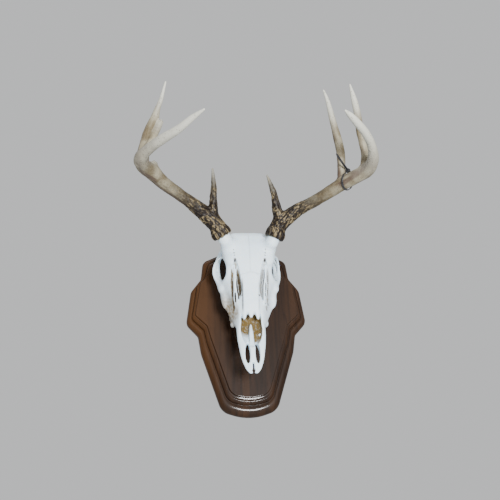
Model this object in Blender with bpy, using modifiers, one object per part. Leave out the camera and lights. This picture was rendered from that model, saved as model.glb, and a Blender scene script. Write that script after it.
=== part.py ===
"""White-tailed deer skull with antlers on a moulded walnut wall plaque.

The plaque's back lies in the plane y = 0 and its front looks along -Y, with +Z up. All lengths in the
tables are millimetres and MM turns them into metres. The skull is drawn in its own axes: across, along
(from the occiput to the nose) and rise (from the palate to the forehead), and then leaned onto the plaque.
"""
import math

import bmesh
import bpy
from mathutils import Matrix, Vector

MM = 0.001
# Gap between pieces that seat on each other.
FIT_GAP = 0.3
# How far a cutter stands out past the surface that it opens.
CUT_REACH = 2.0

# Plaque.
PLAQUE_WIDTH = 212.0
PLAQUE_HEIGHT = 315.0
PLAQUE_CROWN_Z = 66.0
BOARD_THICKNESS = 24.0
# Right half of an outline, crown to foot: (share of half the width, share of the height, fillet radius).
PLAQUE_OUTLINE = (
    (0, 0, 90), (0.717, 0.108, 14), (0.755, 0.216, 14), (0.925, 0.292, 16), (1, 0.476, 15),
    (0.807, 0.546, 12), (0.759, 0.641, 60), (0.443, 0.952, 26), (0, 1, 90),
)
PANEL_OUTLINE = (
    (0, 0.057, 80), (0.566, 0.146, 8), (0.632, 0.21, 10), (0.755, 0.254, 6), (0.844, 0.438, 4),
    (0.651, 0.498, 10), (0.594, 0.565, 40), (0.292, 0.87, 22), (0, 0.895, 70),
)
# Moulding from the rim to the panel: (share of the way inwards, height as a share of the thickness).
MOULDING = (
    (0.00, 0.00), (0.00, 0.20), (0.05, 0.36), (0.14, 0.48), (0.30, 0.56), (0.52, 0.57),
    (0.54, 0.49), (0.60, 0.49), (0.62, 0.61), (0.69, 0.73), (0.80, 0.78),
    (0.965, 0.78), (0.97, 0.965), (1.00, 1.00),
)
FILLET_STEPS = 3

# Keyhole slot routed in the back, for one screw in the wall.
KEYHOLE_Z = 26.0
KEYHOLE_ENTRY_RADIUS = 5.0
KEYHOLE_SLOT_WIDTH = 4.6
KEYHOLE_TRAVEL = 14.0
KEYHOLE_LIP = 3.0
KEYHOLE_DEPTH = 9.0
KEYHOLE_SEGMENTS = 16

# The skull's tables are drawn at its drawn length, and the whole skull grows from them with SKULL_LENGTH.
SKULL_DRAWN_LENGTH = 284.0
SKULL_LENGTH = 284.0
SKULL_LEAN = math.radians(21.0)
SKULL_SHIFT_X = -3.2
OCCIPUT_Z = 62.5
# How much is cut off the back of the skull, so that it lies flat on the board.
OCCIPUT_FLAT = 24.3

# Skull body: (along, top, crown half width, half width, height of the widest part, foot half width, bottom).
SKULL_STATIONS = (
    (-6, 34, 8, 28, 24, 12, 6), (10, 50, 9, 34, 32, 14, 6), (28, 66, 12, 38, 44, 15, 7),
    (44, 83, 18, 41, 58, 15, 10), (56, 95, 27, 44, 72, 16, 13), (68, 99, 29, 46.5, 80, 17, 15),
    (82, 99, 28, 46, 79, 19, 17), (98, 95, 26, 45, 72, 25, 18), (114, 88, 24, 44.5, 60, 31, 17),
    (130, 79.5, 20, 43, 46, 34, 16), (148, 69.5, 15.5, 41.5, 34, 34.5, 15), (168, 58, 14, 37.5, 29, 31, 14.5),
    (184, 49, 13.5, 31, 25, 26, 15), (193, 43, 13.5, 27.5, 25, 21, 16), (198, 37.5, 18, 26, 25, 19, 16),
    (213, 32, 19.5, 25, 24, 16, 16), (235, 26.5, 17, 22, 20, 13, 14.5), (255, 21.5, 13, 17.5, 16.5, 9, 12),
    (270, 18, 8.5, 12.5, 15, 7, 11), (278, 16, 4.5, 7, 14, 4, 12),
)
SHOULDER_OUT, SHOULDER_DOWN = 0.62, 0.42
FOOT_OUT, FOOT_UP = 0.55, 0.25
CROWN_DROP, PALATE_ARCH = 0.8, 1.5
ORBIT_ALONG, ORBIT_RISE, ORBIT_OUT = 108.0, 59.0, 46.5
ORBIT_RADIUS, ORBIT_RIM = 20.5, 4.2
ORBIT_UPWARD, ORBIT_FORWARD = math.radians(24.0), math.radians(11.0)
ORBIT_DEPTH, ORBIT_SINK, ORBIT_WALL = 30.0, 6.0, 2.7
ORBIT_STEPS, ORBIT_SIDES = 16, 6
CHEEK_ARCH = (
    (45, 134, 42, 6), (48, 116, 37, 5.5), (50, 94, 36, 5),
    (49, 72, 38, 5), (42, 50, 38, 5.5), (32, 36, 36, 6),
)
TOOTH_COUNT = 6
TOOTH_ROW = ((33.0, 112.0), (26.5, 188.0))
TOOTH_WIDTH, TOOTH_CROWN, TOOTH_ROOT = 13.0, 5.0, 20.0
TOOTH_NARROWING, TOOTH_FILL, TOOTH_FLARE, TOOTH_SIDES = 0.3, 1.08, 1.06, 6
NOSE_HOLLOW = ((0, 204, 29.5), (17, 36, 12.5))
PALATE_SLIT = ((7.6, 245.5, 18), (3.3, 16.5, 30))
NOSE_NOTCH_START, NOSE_NOTCH_WIDTH, NOSE_NOTCH_HOLE = 261.0, 1.8, (274.0, 2.6)
TEAR_PIT = ((23.5, 144, 60), (7, 24, 13))
TEMPLE_HOLLOW = ((48, 62, 60), (12, 22, 18))
# Where the antlers part from the skull, in its own axes: the centre of each burr's underside.
BURR_SEATS = {-1: (-43.8, 76.9, 109.7), 1: (40.2, 79.7, 108.6)}
PEDICLE_ROOT = (31.0, 80.0, 84.0)
PEDICLE_ROOT_RADIUS, PEDICLE_RADIUS, PEDICLE_COLLAR = 15.0, 10.8, 8.0

# Antlers: each branch is a route of (x, y, z, radius) from the centre of its burr's underside. The tables
# are drawn for the drawn reach in front of the burr, and both antlers grow from them with ANTLER_REACH.
ANTLER_DRAWN_REACH = 260.0
ANTLER_REACH = 260.0
LEFT_BEAM = (
    (0, 0, 0, 12), (-15, -10, 20, 13.1), (-33, -20, 33, 12.2), (-62, -40, 47, 9.4), (-93, -60, 61, 10.2),
    (-111, -85, 66, 11.5), (-124, -115, 62, 11.1), (-125, -145, 57, 9.2), (-111, -170, 57, 7.3),
    (-93, -195, 56, 6.8), (-72, -220, 55, 5.5), (-54, -242, 58, 4.2), (-39, -260, 59, 1.6),
)
LEFT_TINES = {
    "tall": ((-125, -132, 60, 9.5), (-118, -142, 90, 8.2), (-111, -147, 107, 8.4), (-107, -152, 118, 6.7),
             (-103, -158, 130, 4.4), (-98, -165, 142, 3.2), (-91, -180, 163, 1.6)),
    "broken": ((-119, -148, 64, 6), (-110, -149, 84, 5), (-98, -154, 113, 4.6)),
    "stub": ((-109, -84, 66, 9.5), (-111, -84, 75, 8.6), (-112, -85, 84, 7)),
    "brow": ((-19, -13, 24, 8.5), (-16, -20, 37, 7.3), (-16, -30, 54, 5.7), (-16, -42, 71, 4.6),
             (-18, -55, 93, 1.6)),
}
RIGHT_BEAM = (
    (0, 0, 0, 12), (9, -8, 19, 13.2), (24, -19, 30, 11.8), (41, -30, 39, 9.8), (64, -45, 46, 9.2),
    (86, -60, 55, 9.7), (103, -75, 61, 10.4), (119, -95, 63, 11), (133, -115, 64, 10.8), (135, -140, 67, 8.7),
    (127, -165, 73, 6.6), (111, -190, 79, 6.1), (94, -210, 82, 5.6), (80, -225, 84, 4.3), (70, -235, 85, 1.7),
)
RIGHT_TINES = {
    "second": ((103, -75, 63, 7.6), (103, -83, 91, 6.4), (101, -92, 114, 6.8), (95, -100, 140, 6),
               (88, -108, 169, 4.8), (82, -115, 193, 3.3), (76, -120, 208, 1.6)),
    "third": ((130, -110, 65, 7.5), (133, -115, 91, 6.2), (129, -122, 114, 6.3), (125, -128, 128, 5.9),
              (122, -136, 150, 5.5), (116, -145, 172, 4.7), (109, -155, 193, 1.6)),
    "brow": ((11, -12, 23, 9), (6, -20, 36, 8.2), (2, -30, 51, 6.1), (-4, -42, 67, 4.5), (-14, -55, 86, 1.6)),
}
# Burr: (distance from the underside, added radius).
BURR = ((0, 0.2), (1.5, 3.2), (5, 4.2), (8.5, 3.2), (12, 1.2))
BEAM_STEPS, TINE_STEPS, ARCH_STEPS = 3, 2, 2

# Cable tie round the right beam: between which rows of the beam it sits, and how far along from the first.
TIE_ROWS, TIE_SHARE = (6, 7), 0.42
TIE_LIFT = 0.7
TIE_AXIS = (0.62, -0.78, 0.08)
TIE_SLACK = 1.95
TIE_THICKNESS, TIE_WIDTH, TIE_SLANT = 1.1, 3.2, 6.0
TIE_STEPS = 20
TIE_HEAD_SIZE = (6.5, 5.0, 5.5)
TIE_HEAD_TURN = math.radians(8.0)
TIE_TAIL_INSET = 0.8
# The tail's end, seen from the middle of the loop.
TIE_TAIL_END = (-23, -32, 29.5)


def make_material(name, colour, roughness):
    """A Principled material with the piece's plain colour."""
    material = bpy.data.materials.new(name)
    material.use_nodes = True
    shader = material.node_tree.nodes["Principled BSDF"]
    shader.inputs["Base Color"].default_value = (*colour, 1.0)
    shader.inputs["Roughness"].default_value = roughness
    return material


def add_object(name, mesh, collection, cutter=False):
    """Link a mesh as an object, hidden from the render when it only shapes another."""
    thing = bpy.data.objects.new(name, mesh)
    collection.objects.link(thing)
    if cutter:
        thing.hide_render = True
        thing.display_type = "WIRE"
    return thing


def finish_bmesh(shape, name):
    """Turn a bmesh into a mesh whose faces all point out."""
    bmesh.ops.recalc_face_normals(shape, faces=shape.faces)
    mesh = bpy.data.meshes.new(name)
    shape.to_mesh(mesh)
    shape.free()
    return mesh


def combine(target, other, operation):
    """Leave a Boolean modifier on the target that joins or cuts the other object."""
    modifier = target.modifiers.new(other.name, "BOOLEAN")
    modifier.operation = operation
    modifier.object = other
    modifier.solver = "EXACT"


def loft(rings, name):
    """A closed mesh through rings of equally many points, each ring a list of vectors."""
    shape = bmesh.new()
    rows = [[shape.verts.new(point) for point in ring] for ring in rings]
    count = len(rows[0])
    for lower, upper in zip(rows, rows[1:]):
        for i in range(count):
            j = (i + 1) % count
            shape.faces.new((lower[i], lower[j], upper[j], upper[i]))
    shape.faces.new(rows[0])
    shape.faces.new(rows[-1])
    return finish_bmesh(shape, name)


def fillet(before, corner, after, radius, steps):
    """Points of the arc that rounds one corner of an outline."""
    to_before, to_after = (before - corner).normalized(), (after - corner).normalized()
    half_angle = to_before.angle(to_after) / 2
    bisector = (to_before + to_after).normalized()
    centre = corner + bisector * (radius / math.sin(half_angle))
    start = corner + to_before * (radius / math.tan(half_angle)) - centre
    sweep = math.pi - 2 * half_angle
    side = 1 if to_after.cross(to_before) > 0 else -1
    points = []
    for step in range(steps + 1):
        turned = Matrix.Rotation(side * sweep * step / steps, 2) @ start
        points.append(centre + turned)
    return points


def rounded_outline(corners):
    """The whole outline, mirrored about x = 0, as points in the plane of the board."""
    half = [Vector((x * PLAQUE_WIDTH / 2, PLAQUE_CROWN_Z - down * PLAQUE_HEIGHT)) for x, down, _ in corners]
    points = []
    for index, (x, _, radius) in enumerate(corners):
        corner = half[index]
        before = half[index - 1] if index > 0 else Vector((-half[1].x, half[1].y))
        after = half[index + 1] if index + 1 < len(half) else Vector((-half[-2].x, half[-2].y))
        arc = fillet(before, corner, after, radius, 2 * FILLET_STEPS if x == 0 else FILLET_STEPS)
        if index == 0:
            arc = arc[FILLET_STEPS:]
        elif index == len(corners) - 1:
            arc = arc[:FILLET_STEPS + 1]
        points += arc
    mirrored = [Vector((-point.x, point.y)) for point in points[-2:0:-1]]
    return points + mirrored


def build_plaque(collection, cutters):
    """The moulded board, with its keyhole slot routed in from the back."""
    rim, panel = rounded_outline(PLAQUE_OUTLINE), rounded_outline(PANEL_OUTLINE)
    rings = []
    for share, height in MOULDING:
        ring = [outer.lerp(inner, share) for outer, inner in zip(rim, panel)]
        rings.append([Vector((point.x, -height * BOARD_THICKNESS, point.y)) * MM for point in ring])
    plaque = add_object("plaque", loft(rings, "plaque"), collection)
    radius, neck_end = KEYHOLE_ENTRY_RADIUS, (KEYHOLE_LIP + KEYHOLE_DEPTH) / 2
    entry = keyhole_cutter("keyhole_entry", radius, -CUT_REACH, KEYHOLE_DEPTH, 0.0)
    undercut = keyhole_cutter("keyhole_undercut", radius, KEYHOLE_LIP, KEYHOLE_DEPTH, KEYHOLE_TRAVEL)
    neck = keyhole_cutter("keyhole_neck", KEYHOLE_SLOT_WIDTH / 2, -CUT_REACH, neck_end, KEYHOLE_TRAVEL)
    for mesh in (entry, undercut, neck):
        combine(plaque, add_object(mesh.name, mesh, cutters, cutter=True), "DIFFERENCE")
    return plaque


def keyhole_cutter(name, radius, front, back, travel):
    """A rod across the board, stretched upwards by the travel of the screw."""
    shape = bmesh.new()
    bmesh.ops.create_cone(shape, cap_ends=True, segments=KEYHOLE_SEGMENTS, radius1=radius * MM,
                          radius2=radius * MM, depth=(back - front) * MM)
    for vert in shape.verts:
        if vert.co.y > radius * MM * 0.001:
            vert.co.y += travel * MM
    upright = Matrix.Rotation(math.radians(90), 4, "X")
    place = Matrix.Translation(Vector((0, -(front + back) / 2, KEYHOLE_Z)) * MM)
    bmesh.ops.transform(shape, matrix=place @ upright, verts=shape.verts)
    return finish_bmesh(shape, name)


def skull_matrix():
    """From the skull's own axes (across, along, rise) to the part's."""
    along = Vector((0, -math.sin(SKULL_LEAN), -math.cos(SKULL_LEAN)))
    rise = Vector((0, -math.cos(SKULL_LEAN), math.sin(SKULL_LEAN)))
    axes = Matrix((Vector((1, 0, 0)), along, rise)).transposed().to_4x4()
    depth = OCCIPUT_FLAT - BOARD_THICKNESS - FIT_GAP
    place = Matrix.Translation(Vector((SKULL_SHIFT_X, depth, OCCIPUT_Z)) * MM)
    return place @ axes @ Matrix.Scale(SKULL_LENGTH / SKULL_DRAWN_LENGTH, 4)


def skull_ring(along, top, crown, width, widest, foot, bottom):
    """One closed section across the skull."""
    shoulder = (crown + SHOULDER_OUT * (width - crown), top - SHOULDER_DOWN * (top - widest))
    low = (foot + FOOT_OUT * (width - foot), bottom + FOOT_UP * (widest - bottom))
    half = [(0, top), (crown, top - CROWN_DROP), shoulder, (width, widest), low, (foot, bottom),
            (0, bottom + PALATE_ARCH)]
    mirrored = [(-x, h) for x, h in half[-2:0:-1]]
    return [Vector((x, along, h)) * MM for x, h in half + mirrored]


def ellipsoid(name, centre, radii, segments=10, bands=7):
    """A plain ball, stretched along the skull's own axes."""
    shape = bmesh.new()
    bmesh.ops.create_uvsphere(shape, u_segments=segments, v_segments=bands, radius=1.0)
    stretch = Matrix.Diagonal((*(Vector(radii) * MM), 1.0))
    bmesh.ops.transform(shape, matrix=Matrix.Translation(Vector(centre) * MM) @ stretch, verts=shape.verts)
    return finish_bmesh(shape, name)


def block(name, low, high):
    """A box between two corners in millimetres."""
    shape = bmesh.new()
    bmesh.ops.create_cube(shape, size=1.0)
    low, high = Vector(low), Vector(high)
    size = Matrix.Diagonal((*((high - low) * MM), 1.0))
    bmesh.ops.transform(shape, matrix=Matrix.Translation((low + high) / 2 * MM) @ size, verts=shape.verts)
    return finish_bmesh(shape, name)


def smooth_route(rows, steps):
    """Rows (x, y, z, radius) on one smooth curve through the given rows."""
    padded = [rows[0], *rows, rows[-1]]
    route = []
    for i in range(1, len(padded) - 2):
        p0, p1, p2, p3 = (Vector(row) for row in padded[i - 1:i + 3])
        for step in range(steps):
            t = step / steps
            route.append(0.5 * (2 * p1 + (p2 - p0) * t + (2 * p0 - 5 * p1 + 4 * p2 - p3) * t * t
                                + (3 * p1 - p0 - 3 * p2 + p3) * t ** 3))
    route.append(Vector(rows[-1]))
    return route


def tube_mesh(name, route, bevel_resolution=3):
    """A round tube of changing radius along the route, with closed ends."""
    curve = bpy.data.curves.new(name, "CURVE")
    curve.dimensions = "3D"
    curve.bevel_depth = MM
    curve.bevel_resolution = bevel_resolution
    curve.use_fill_caps = True
    spline = curve.splines.new("POLY")
    spline.points.add(len(route) - 1)
    for point, row in zip(spline.points, route):
        point.co = (*(Vector(row[:3]) * MM), 1.0)
        point.radius = row[3]
    guide = bpy.data.objects.new(name, curve)
    bpy.context.scene.collection.objects.link(guide)
    depsgraph = bpy.context.evaluated_depsgraph_get()
    mesh = bpy.data.meshes.new_from_object(guide.evaluated_get(depsgraph))
    bpy.data.objects.remove(guide)
    shape = bmesh.new()
    shape.from_mesh(mesh)
    bmesh.ops.remove_doubles(shape, verts=shape.verts, dist=1e-6)
    bpy.data.meshes.remove(mesh)
    return finish_bmesh(shape, name)


def orbit_matrix(side):
    """The eye socket's frame: its own Z runs out of the socket, forwards and to the side."""
    place = Matrix.Translation(Vector((side * ORBIT_OUT, ORBIT_ALONG, ORBIT_RISE)) * MM)
    forward = Matrix.Rotation(side * ORBIT_FORWARD, 4, "Z")
    return place @ forward @ Matrix.Rotation(side * (math.radians(90) - ORBIT_UPWARD), 4, "Y")


def orbit_rim(name, side):
    """The raised ring of bone round one eye socket."""
    shape = bmesh.new()
    rings = []
    for step in range(ORBIT_STEPS):
        angle = 2 * math.pi * step / ORBIT_STEPS
        outward = Vector((math.cos(angle), math.sin(angle), 0))
        ring = []
        for k in range(ORBIT_SIDES):
            turn = 2 * math.pi * k / ORBIT_SIDES
            offset = outward * math.cos(turn) + Vector((0, 0, 1)) * math.sin(turn)
            ring.append(shape.verts.new((outward * ORBIT_RADIUS + offset * ORBIT_RIM) * MM))
        rings.append(ring)
    close_tube(shape, rings)
    bmesh.ops.transform(shape, matrix=orbit_matrix(side), verts=shape.verts)
    return finish_bmesh(shape, name)


def close_tube(shape, rings):
    """Skin a tube that runs round and meets itself."""
    for ring, following in zip(rings, rings[1:] + rings[:1]):
        for k in range(len(ring)):
            m = (k + 1) % len(ring)
            shape.faces.new((ring[k], ring[m], following[m], following[k]))


def orbit_socket(name, side):
    """The deep eye socket that is cut inside the rim."""
    inner = ORBIT_RADIUS - ORBIT_WALL
    mesh = ellipsoid(name, (0, 0, -ORBIT_SINK), (inner, inner, ORBIT_DEPTH), segments=14)
    mesh.transform(orbit_matrix(side))
    return mesh


def antler_rows(side, rows):
    """A branch's rows moved from its burr's own place to the part's axes, at the antler's real size."""
    seat = skull_matrix() @ (Vector(BURR_SEATS[side]) * MM) / MM
    growth = ANTLER_REACH / ANTLER_DRAWN_REACH
    return [(*(seat + Vector(row[:3]) * growth), row[3] * growth) for row in rows]


def burr_base(side, beam):
    """The centre of a burr's underside and the direction of its beam."""
    start, following = (Vector(row[:3]) for row in antler_rows(side, beam)[:2])
    return start, (following - start).normalized()


def pedicle(name, side, beam):
    """The stalk of bone from the forehead to the underside of one burr."""
    end, direction = burr_base(side, beam)
    to_own = skull_matrix().inverted()
    root = to_own @ ((end - direction * FIT_GAP) * MM) / MM
    heading = (to_own.to_3x3() @ direction).normalized()
    start = Vector((side * PEDICLE_ROOT[0], *PEDICLE_ROOT[1:]))
    collar = root - heading * PEDICLE_COLLAR
    middle_radius = (PEDICLE_ROOT_RADIUS + PEDICLE_RADIUS) / 2
    rows = [(*start, PEDICLE_ROOT_RADIUS), (*start.lerp(collar, 0.5), middle_radius),
            (*collar, PEDICLE_RADIUS), (*root, PEDICLE_RADIUS)]
    return tube_mesh(name, rows)


def build_skull(collection, cutters):
    """The skull: a lofted body joined with its rims, arches, teeth and pedicles, then hollowed."""
    to_part = skull_matrix()
    body = loft([skull_ring(*station) for station in SKULL_STATIONS], "skull")
    skull = add_object("skull", body, collection)
    skull.matrix_world = to_part
    smoothing = skull.modifiers.new("smooth form", "SUBSURF")
    smoothing.levels = smoothing.render_levels = 1

    joined, cut = [], []
    for side, word, beam in ((-1, "left", LEFT_BEAM), (1, "right", RIGHT_BEAM)):
        joined.append(orbit_rim("orbit_rim_" + word, side))
        arch = [(side * x, u, h, r) for x, u, h, r in CHEEK_ARCH]
        joined.append(tube_mesh("cheek_arch_" + word, smooth_route(arch, ARCH_STEPS), 2))
        joined.append(pedicle("pedicle_" + word, side, beam))
        for index in range(TOOTH_COUNT):
            joined.append(tooth(f"tooth_{word}_{index + 1}", side, index))
        cut.append(orbit_socket("orbit_socket_" + word, side))
        for label, (centre, radii) in (("palate_slit", PALATE_SLIT), ("tear_pit", TEAR_PIT),
                                       ("temple_hollow", TEMPLE_HOLLOW)):
            cut.append(ellipsoid(f"{label}_{word}", (side * centre[0], *centre[1:]), radii))
    cut.append(ellipsoid("nose_hollow", *NOSE_HOLLOW))
    hole_along, hole_radius = NOSE_NOTCH_HOLE
    half, (tip_along, tip_top, *_) = NOSE_NOTCH_WIDTH / 2, SKULL_STATIONS[-1]
    low, high = (-half, NOSE_NOTCH_START, -tip_top), (half, tip_along + CUT_REACH, 3 * tip_top)
    cut.append(block("nose_notch", low, high))
    hole_radii = (hole_radius, hole_radius, 2 * tip_top)
    cut.append(ellipsoid("nose_notch_hole", (0, hole_along, tip_top), hole_radii))
    for mesh in joined:
        piece = add_object(mesh.name, mesh, cutters, cutter=True)
        piece.matrix_world = to_part
        combine(skull, piece, "UNION")
    for mesh in cut:
        piece = add_object(mesh.name, mesh, cutters, cutter=True)
        piece.matrix_world = to_part
        combine(skull, piece, "DIFFERENCE")
    seat, reach = -(BOARD_THICKNESS + FIT_GAP), SKULL_LENGTH
    board_side = block("board_side", (-reach, seat, -reach), (reach, reach, reach))
    combine(skull, add_object("board_side", board_side, cutters, cutter=True), "DIFFERENCE")
    return skull


def tooth(name, side, index):
    """One cheek tooth, a block that tapers a little towards its crown."""
    (x0, u0), (x1, u1) = TOOTH_ROW
    pitch = (u1 - u0) / TOOTH_COUNT
    share = (index + 0.5) / TOOTH_COUNT
    x, u = x0 + (x1 - x0) * share, u0 + (u1 - u0) * share
    width = TOOTH_WIDTH * (1.0 - TOOTH_NARROWING * share)
    shape = bmesh.new()
    bmesh.ops.create_cone(shape, cap_ends=True, segments=TOOTH_SIDES, radius1=0.5, radius2=0.5 * TOOTH_FLARE,
                          depth=1.0)
    size = Matrix.Diagonal((width * MM, pitch * TOOTH_FILL * MM, (TOOTH_ROOT - TOOTH_CROWN) * MM, 1.0))
    place = Matrix.Translation(Vector((side * x, u, (TOOTH_ROOT + TOOTH_CROWN) / 2)) * MM)
    turn = Matrix.Rotation(math.pi / TOOTH_SIDES, 4, "Z")
    bmesh.ops.transform(shape, matrix=place @ size @ turn, verts=shape.verts)
    return finish_bmesh(shape, name)


def build_antler(name, side, beam, tines, collection, cutters):
    """One antler: the beam with its burr, and its tines joined to it."""
    start, direction = burr_base(side, beam)
    placed = antler_rows(side, beam)
    base = [(*(start + direction * distance), placed[0][3] + swell) for distance, swell in BURR]
    route = base + smooth_route(placed, BEAM_STEPS)[2:]
    antler = add_object(name, tube_mesh(name, route), collection)
    for label, rows in tines.items():
        mesh = tube_mesh(f"{name}_{label}_tine", smooth_route(antler_rows(side, rows), TINE_STEPS), 2)
        combine(antler, add_object(mesh.name, mesh, cutters, cutter=True), "UNION")
    return antler


def build_cable_tie(collection, cutters):
    """The strap round the beam, with its locking head and its stiff loose tail."""
    beam = antler_rows(1, RIGHT_BEAM)
    before, after = (Vector(beam[row]) for row in TIE_ROWS)
    *centre, beam_radius = before.lerp(after, TIE_SHARE)
    centre = Vector(centre) + Vector((0, 0, TIE_LIFT))
    radius = beam_radius + TIE_SLACK
    axis = Vector(TIE_AXIS).normalized()
    up = (Vector((0, 0, 1)) - axis * axis.z).normalized()
    front = up.cross(axis)
    front = front if front.y < 0 else -front
    shape = bmesh.new()
    rings = []
    for step in range(TIE_STEPS):
        turn = 2 * math.pi * step / TIE_STEPS
        out = up * math.cos(turn) + front * math.sin(turn)
        middle = centre + axis * (TIE_SLANT * math.cos(turn))
        ring = []
        for rim, edge in ((0, -0.5), (1, -0.5), (1, 0.5), (0, 0.5)):
            point = middle + out * (radius + rim * TIE_THICKNESS) + axis * (edge * TIE_WIDTH)
            ring.append(shape.verts.new(point * MM))
        rings.append(ring)
    close_tube(shape, rings)
    tie = add_object("cable_tie", finish_bmesh(shape, "cable_tie"), collection)

    out = up * math.cos(TIE_HEAD_TURN) + front * math.sin(TIE_HEAD_TURN)
    foot = centre + axis * (TIE_SLANT * math.cos(TIE_HEAD_TURN))
    top = foot + out * (radius + TIE_HEAD_SIZE[2] / 2)
    head_frame = Matrix((axis, axis.cross(out), out)).transposed().to_4x4()
    half = Vector(TIE_HEAD_SIZE) / 2
    head = block("tie_head", -half, half)
    head.transform(Matrix.Translation(top * MM) @ head_frame)
    tail_start, tail_end = top + out * TIE_TAIL_INSET, centre + Vector(TIE_TAIL_END)
    tail_axis = (tail_end - tail_start).normalized()
    across = tail_axis.cross(out).normalized()
    tail_frame = Matrix((tail_axis, across, tail_axis.cross(across))).transposed().to_4x4()
    high = Vector(((tail_end - tail_start).length, TIE_WIDTH / 2, TIE_THICKNESS / 2))
    tail = block("tie_tail", (0, -high.y, -high.z), high)
    tail.transform(Matrix.Translation(tail_start * MM) @ tail_frame)
    for mesh in (head, tail):
        combine(tie, add_object(mesh.name, mesh, cutters, cutter=True), "UNION")
    return tie


def main():
    """Build every piece and give it its finish."""
    for thing in list(bpy.data.objects):
        bpy.data.objects.remove(thing, do_unlink=True)
    pieces = bpy.data.collections.new("antler_mounting_plaque")
    cutters = bpy.data.collections.new("cutters")
    for collection in (pieces, cutters):
        bpy.context.scene.collection.children.link(collection)
    finishes = {
        "walnut": make_material("walnut", (0.115, 0.048, 0.022), 0.35),
        "bleached_bone": make_material("bleached_bone", (0.84, 0.87, 0.88), 0.55),
        "antler": make_material("antler", (0.42, 0.32, 0.21), 0.5),
        "black_nylon": make_material("black_nylon", (0.012, 0.012, 0.014), 0.4),
    }
    built = (
        (build_plaque(pieces, cutters), "walnut"),
        (build_skull(pieces, cutters), "bleached_bone"),
        (build_antler("left_antler", -1, LEFT_BEAM, LEFT_TINES, pieces, cutters), "antler"),
        (build_antler("right_antler", 1, RIGHT_BEAM, RIGHT_TINES, pieces, cutters), "antler"),
        (build_cable_tie(pieces, cutters), "black_nylon"),
    )
    for piece, finish in built:
        piece.data.materials.clear()
        piece.data.materials.append(finishes[finish])


main()
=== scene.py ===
"""Looks of the antler mounting plaque: a bleached deer skull with antlers on a moulded walnut board.

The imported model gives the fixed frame. The skull and the antlers are shaped as volumes of samples, from the
same sizes as the solids, and turned into fine meshes. All tables are in millimetres.
"""
from __future__ import annotations

import logging
import math
from dataclasses import dataclass, field
from enum import Enum
from functools import cache

import bmesh
import bpy
import numpy as np
from mathutils import Matrix, Vector


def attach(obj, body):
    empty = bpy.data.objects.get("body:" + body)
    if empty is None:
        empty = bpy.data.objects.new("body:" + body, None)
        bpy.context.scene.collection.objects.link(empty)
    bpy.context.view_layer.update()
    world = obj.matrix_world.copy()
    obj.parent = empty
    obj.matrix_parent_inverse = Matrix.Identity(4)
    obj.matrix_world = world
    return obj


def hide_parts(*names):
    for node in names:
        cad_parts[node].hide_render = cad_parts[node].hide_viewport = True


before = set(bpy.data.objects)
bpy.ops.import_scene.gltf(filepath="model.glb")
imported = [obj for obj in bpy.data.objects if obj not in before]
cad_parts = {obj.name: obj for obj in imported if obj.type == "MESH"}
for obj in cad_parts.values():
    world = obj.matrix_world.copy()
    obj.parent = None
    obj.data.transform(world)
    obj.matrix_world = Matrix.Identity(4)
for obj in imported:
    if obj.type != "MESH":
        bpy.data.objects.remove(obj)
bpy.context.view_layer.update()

LOG = logging.getLogger("antler_plaque")
MM = 0.001
SIDES = (-1, 1)
MICRON = 1e-6
TINY = 1e-9
HUGE = 1e9
# The factors and shifts that scramble cell numbers into repeatable noise.
AXIS_FACTORS = (374761393, 668265263, 2246822519)
SEED_FACTOR = 3266489917
SCRAMBLES = ((15, 2246822519), (13, 3266489917))
LAST_SHIFT = 16
WORD = 0xFFFFFFFF
# The shapes that spread three axes over a box of samples.
SPREADS = ((-1, 1, 1), (1, -1, 1), (1, 1, -1))
UNSTRETCHED = (1.0, 1.0, 1.0)

Row = tuple[float, ...]


class Slot(Enum):
    """The record's material slots."""

    WALNUT = "walnut"
    BONE = "bleached_bone"
    ANTLER = "antler"
    NYLON = "black_nylon"


class Joining(Enum):
    """How a lump of bone changes the form."""

    ADD = "add"
    CUT = "cut"


def lattice(cells: np.ndarray, seed: int) -> np.ndarray:
    """Repeatable numbers for whole-number cells.

    Args:
        cells: Cell numbers, with the three axes last.
        seed: Chooses one of many patterns.

    Returns:
        One number from 0 to 1 for each cell.
    """
    x, y, z = (cells[..., axis].astype(np.int64).astype(np.uint32) * np.uint32(factor)
               for axis, factor in enumerate(AXIS_FACTORS))
    mixed = x + y + z + np.uint32((seed * SEED_FACTOR) & WORD)
    for shift, factor in SCRAMBLES:
        mixed = (mixed ^ (mixed >> np.uint32(shift))) * np.uint32(factor)
    mixed = mixed ^ (mixed >> np.uint32(LAST_SHIFT))
    return mixed.astype(np.float64) / WORD


def value_noise(points: np.ndarray, seed: int) -> np.ndarray:
    """Smooth noise in space.

    Args:
        points: Places, with the three axes last, one cell a unit.
        seed: Chooses one of many patterns.

    Returns:
        Values from -1 to 1.
    """
    base = np.floor(points)
    part = points - base
    ease = part * part * (3.0 - 2.0 * part)
    total = np.zeros(points.shape[:-1])
    for corner in np.ndindex(2, 2, 2):
        offset = np.array(corner)
        weight = np.prod(np.where(offset == 1, ease, 1.0 - ease), axis=-1)
        total += weight * lattice(base + offset, seed)
    return total * 2.0 - 1.0


def layered_noise(points: np.ndarray, seed: int, layers: int = 3) -> np.ndarray:
    """Noise with finer and weaker layers on top.

    Args:
        points: Places, with the three axes last, one cell a unit.
        seed: Chooses one of many patterns.
        layers: How many layers are summed.

    Returns:
        Values from about -1 to 1.
    """
    total = np.zeros(points.shape[:-1])
    for layer in range(layers):
        total += value_noise(points * 2.0**layer, seed + layer) * 0.5**layer
    return total / (2.0 - 0.5 ** (layers - 1))


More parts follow.
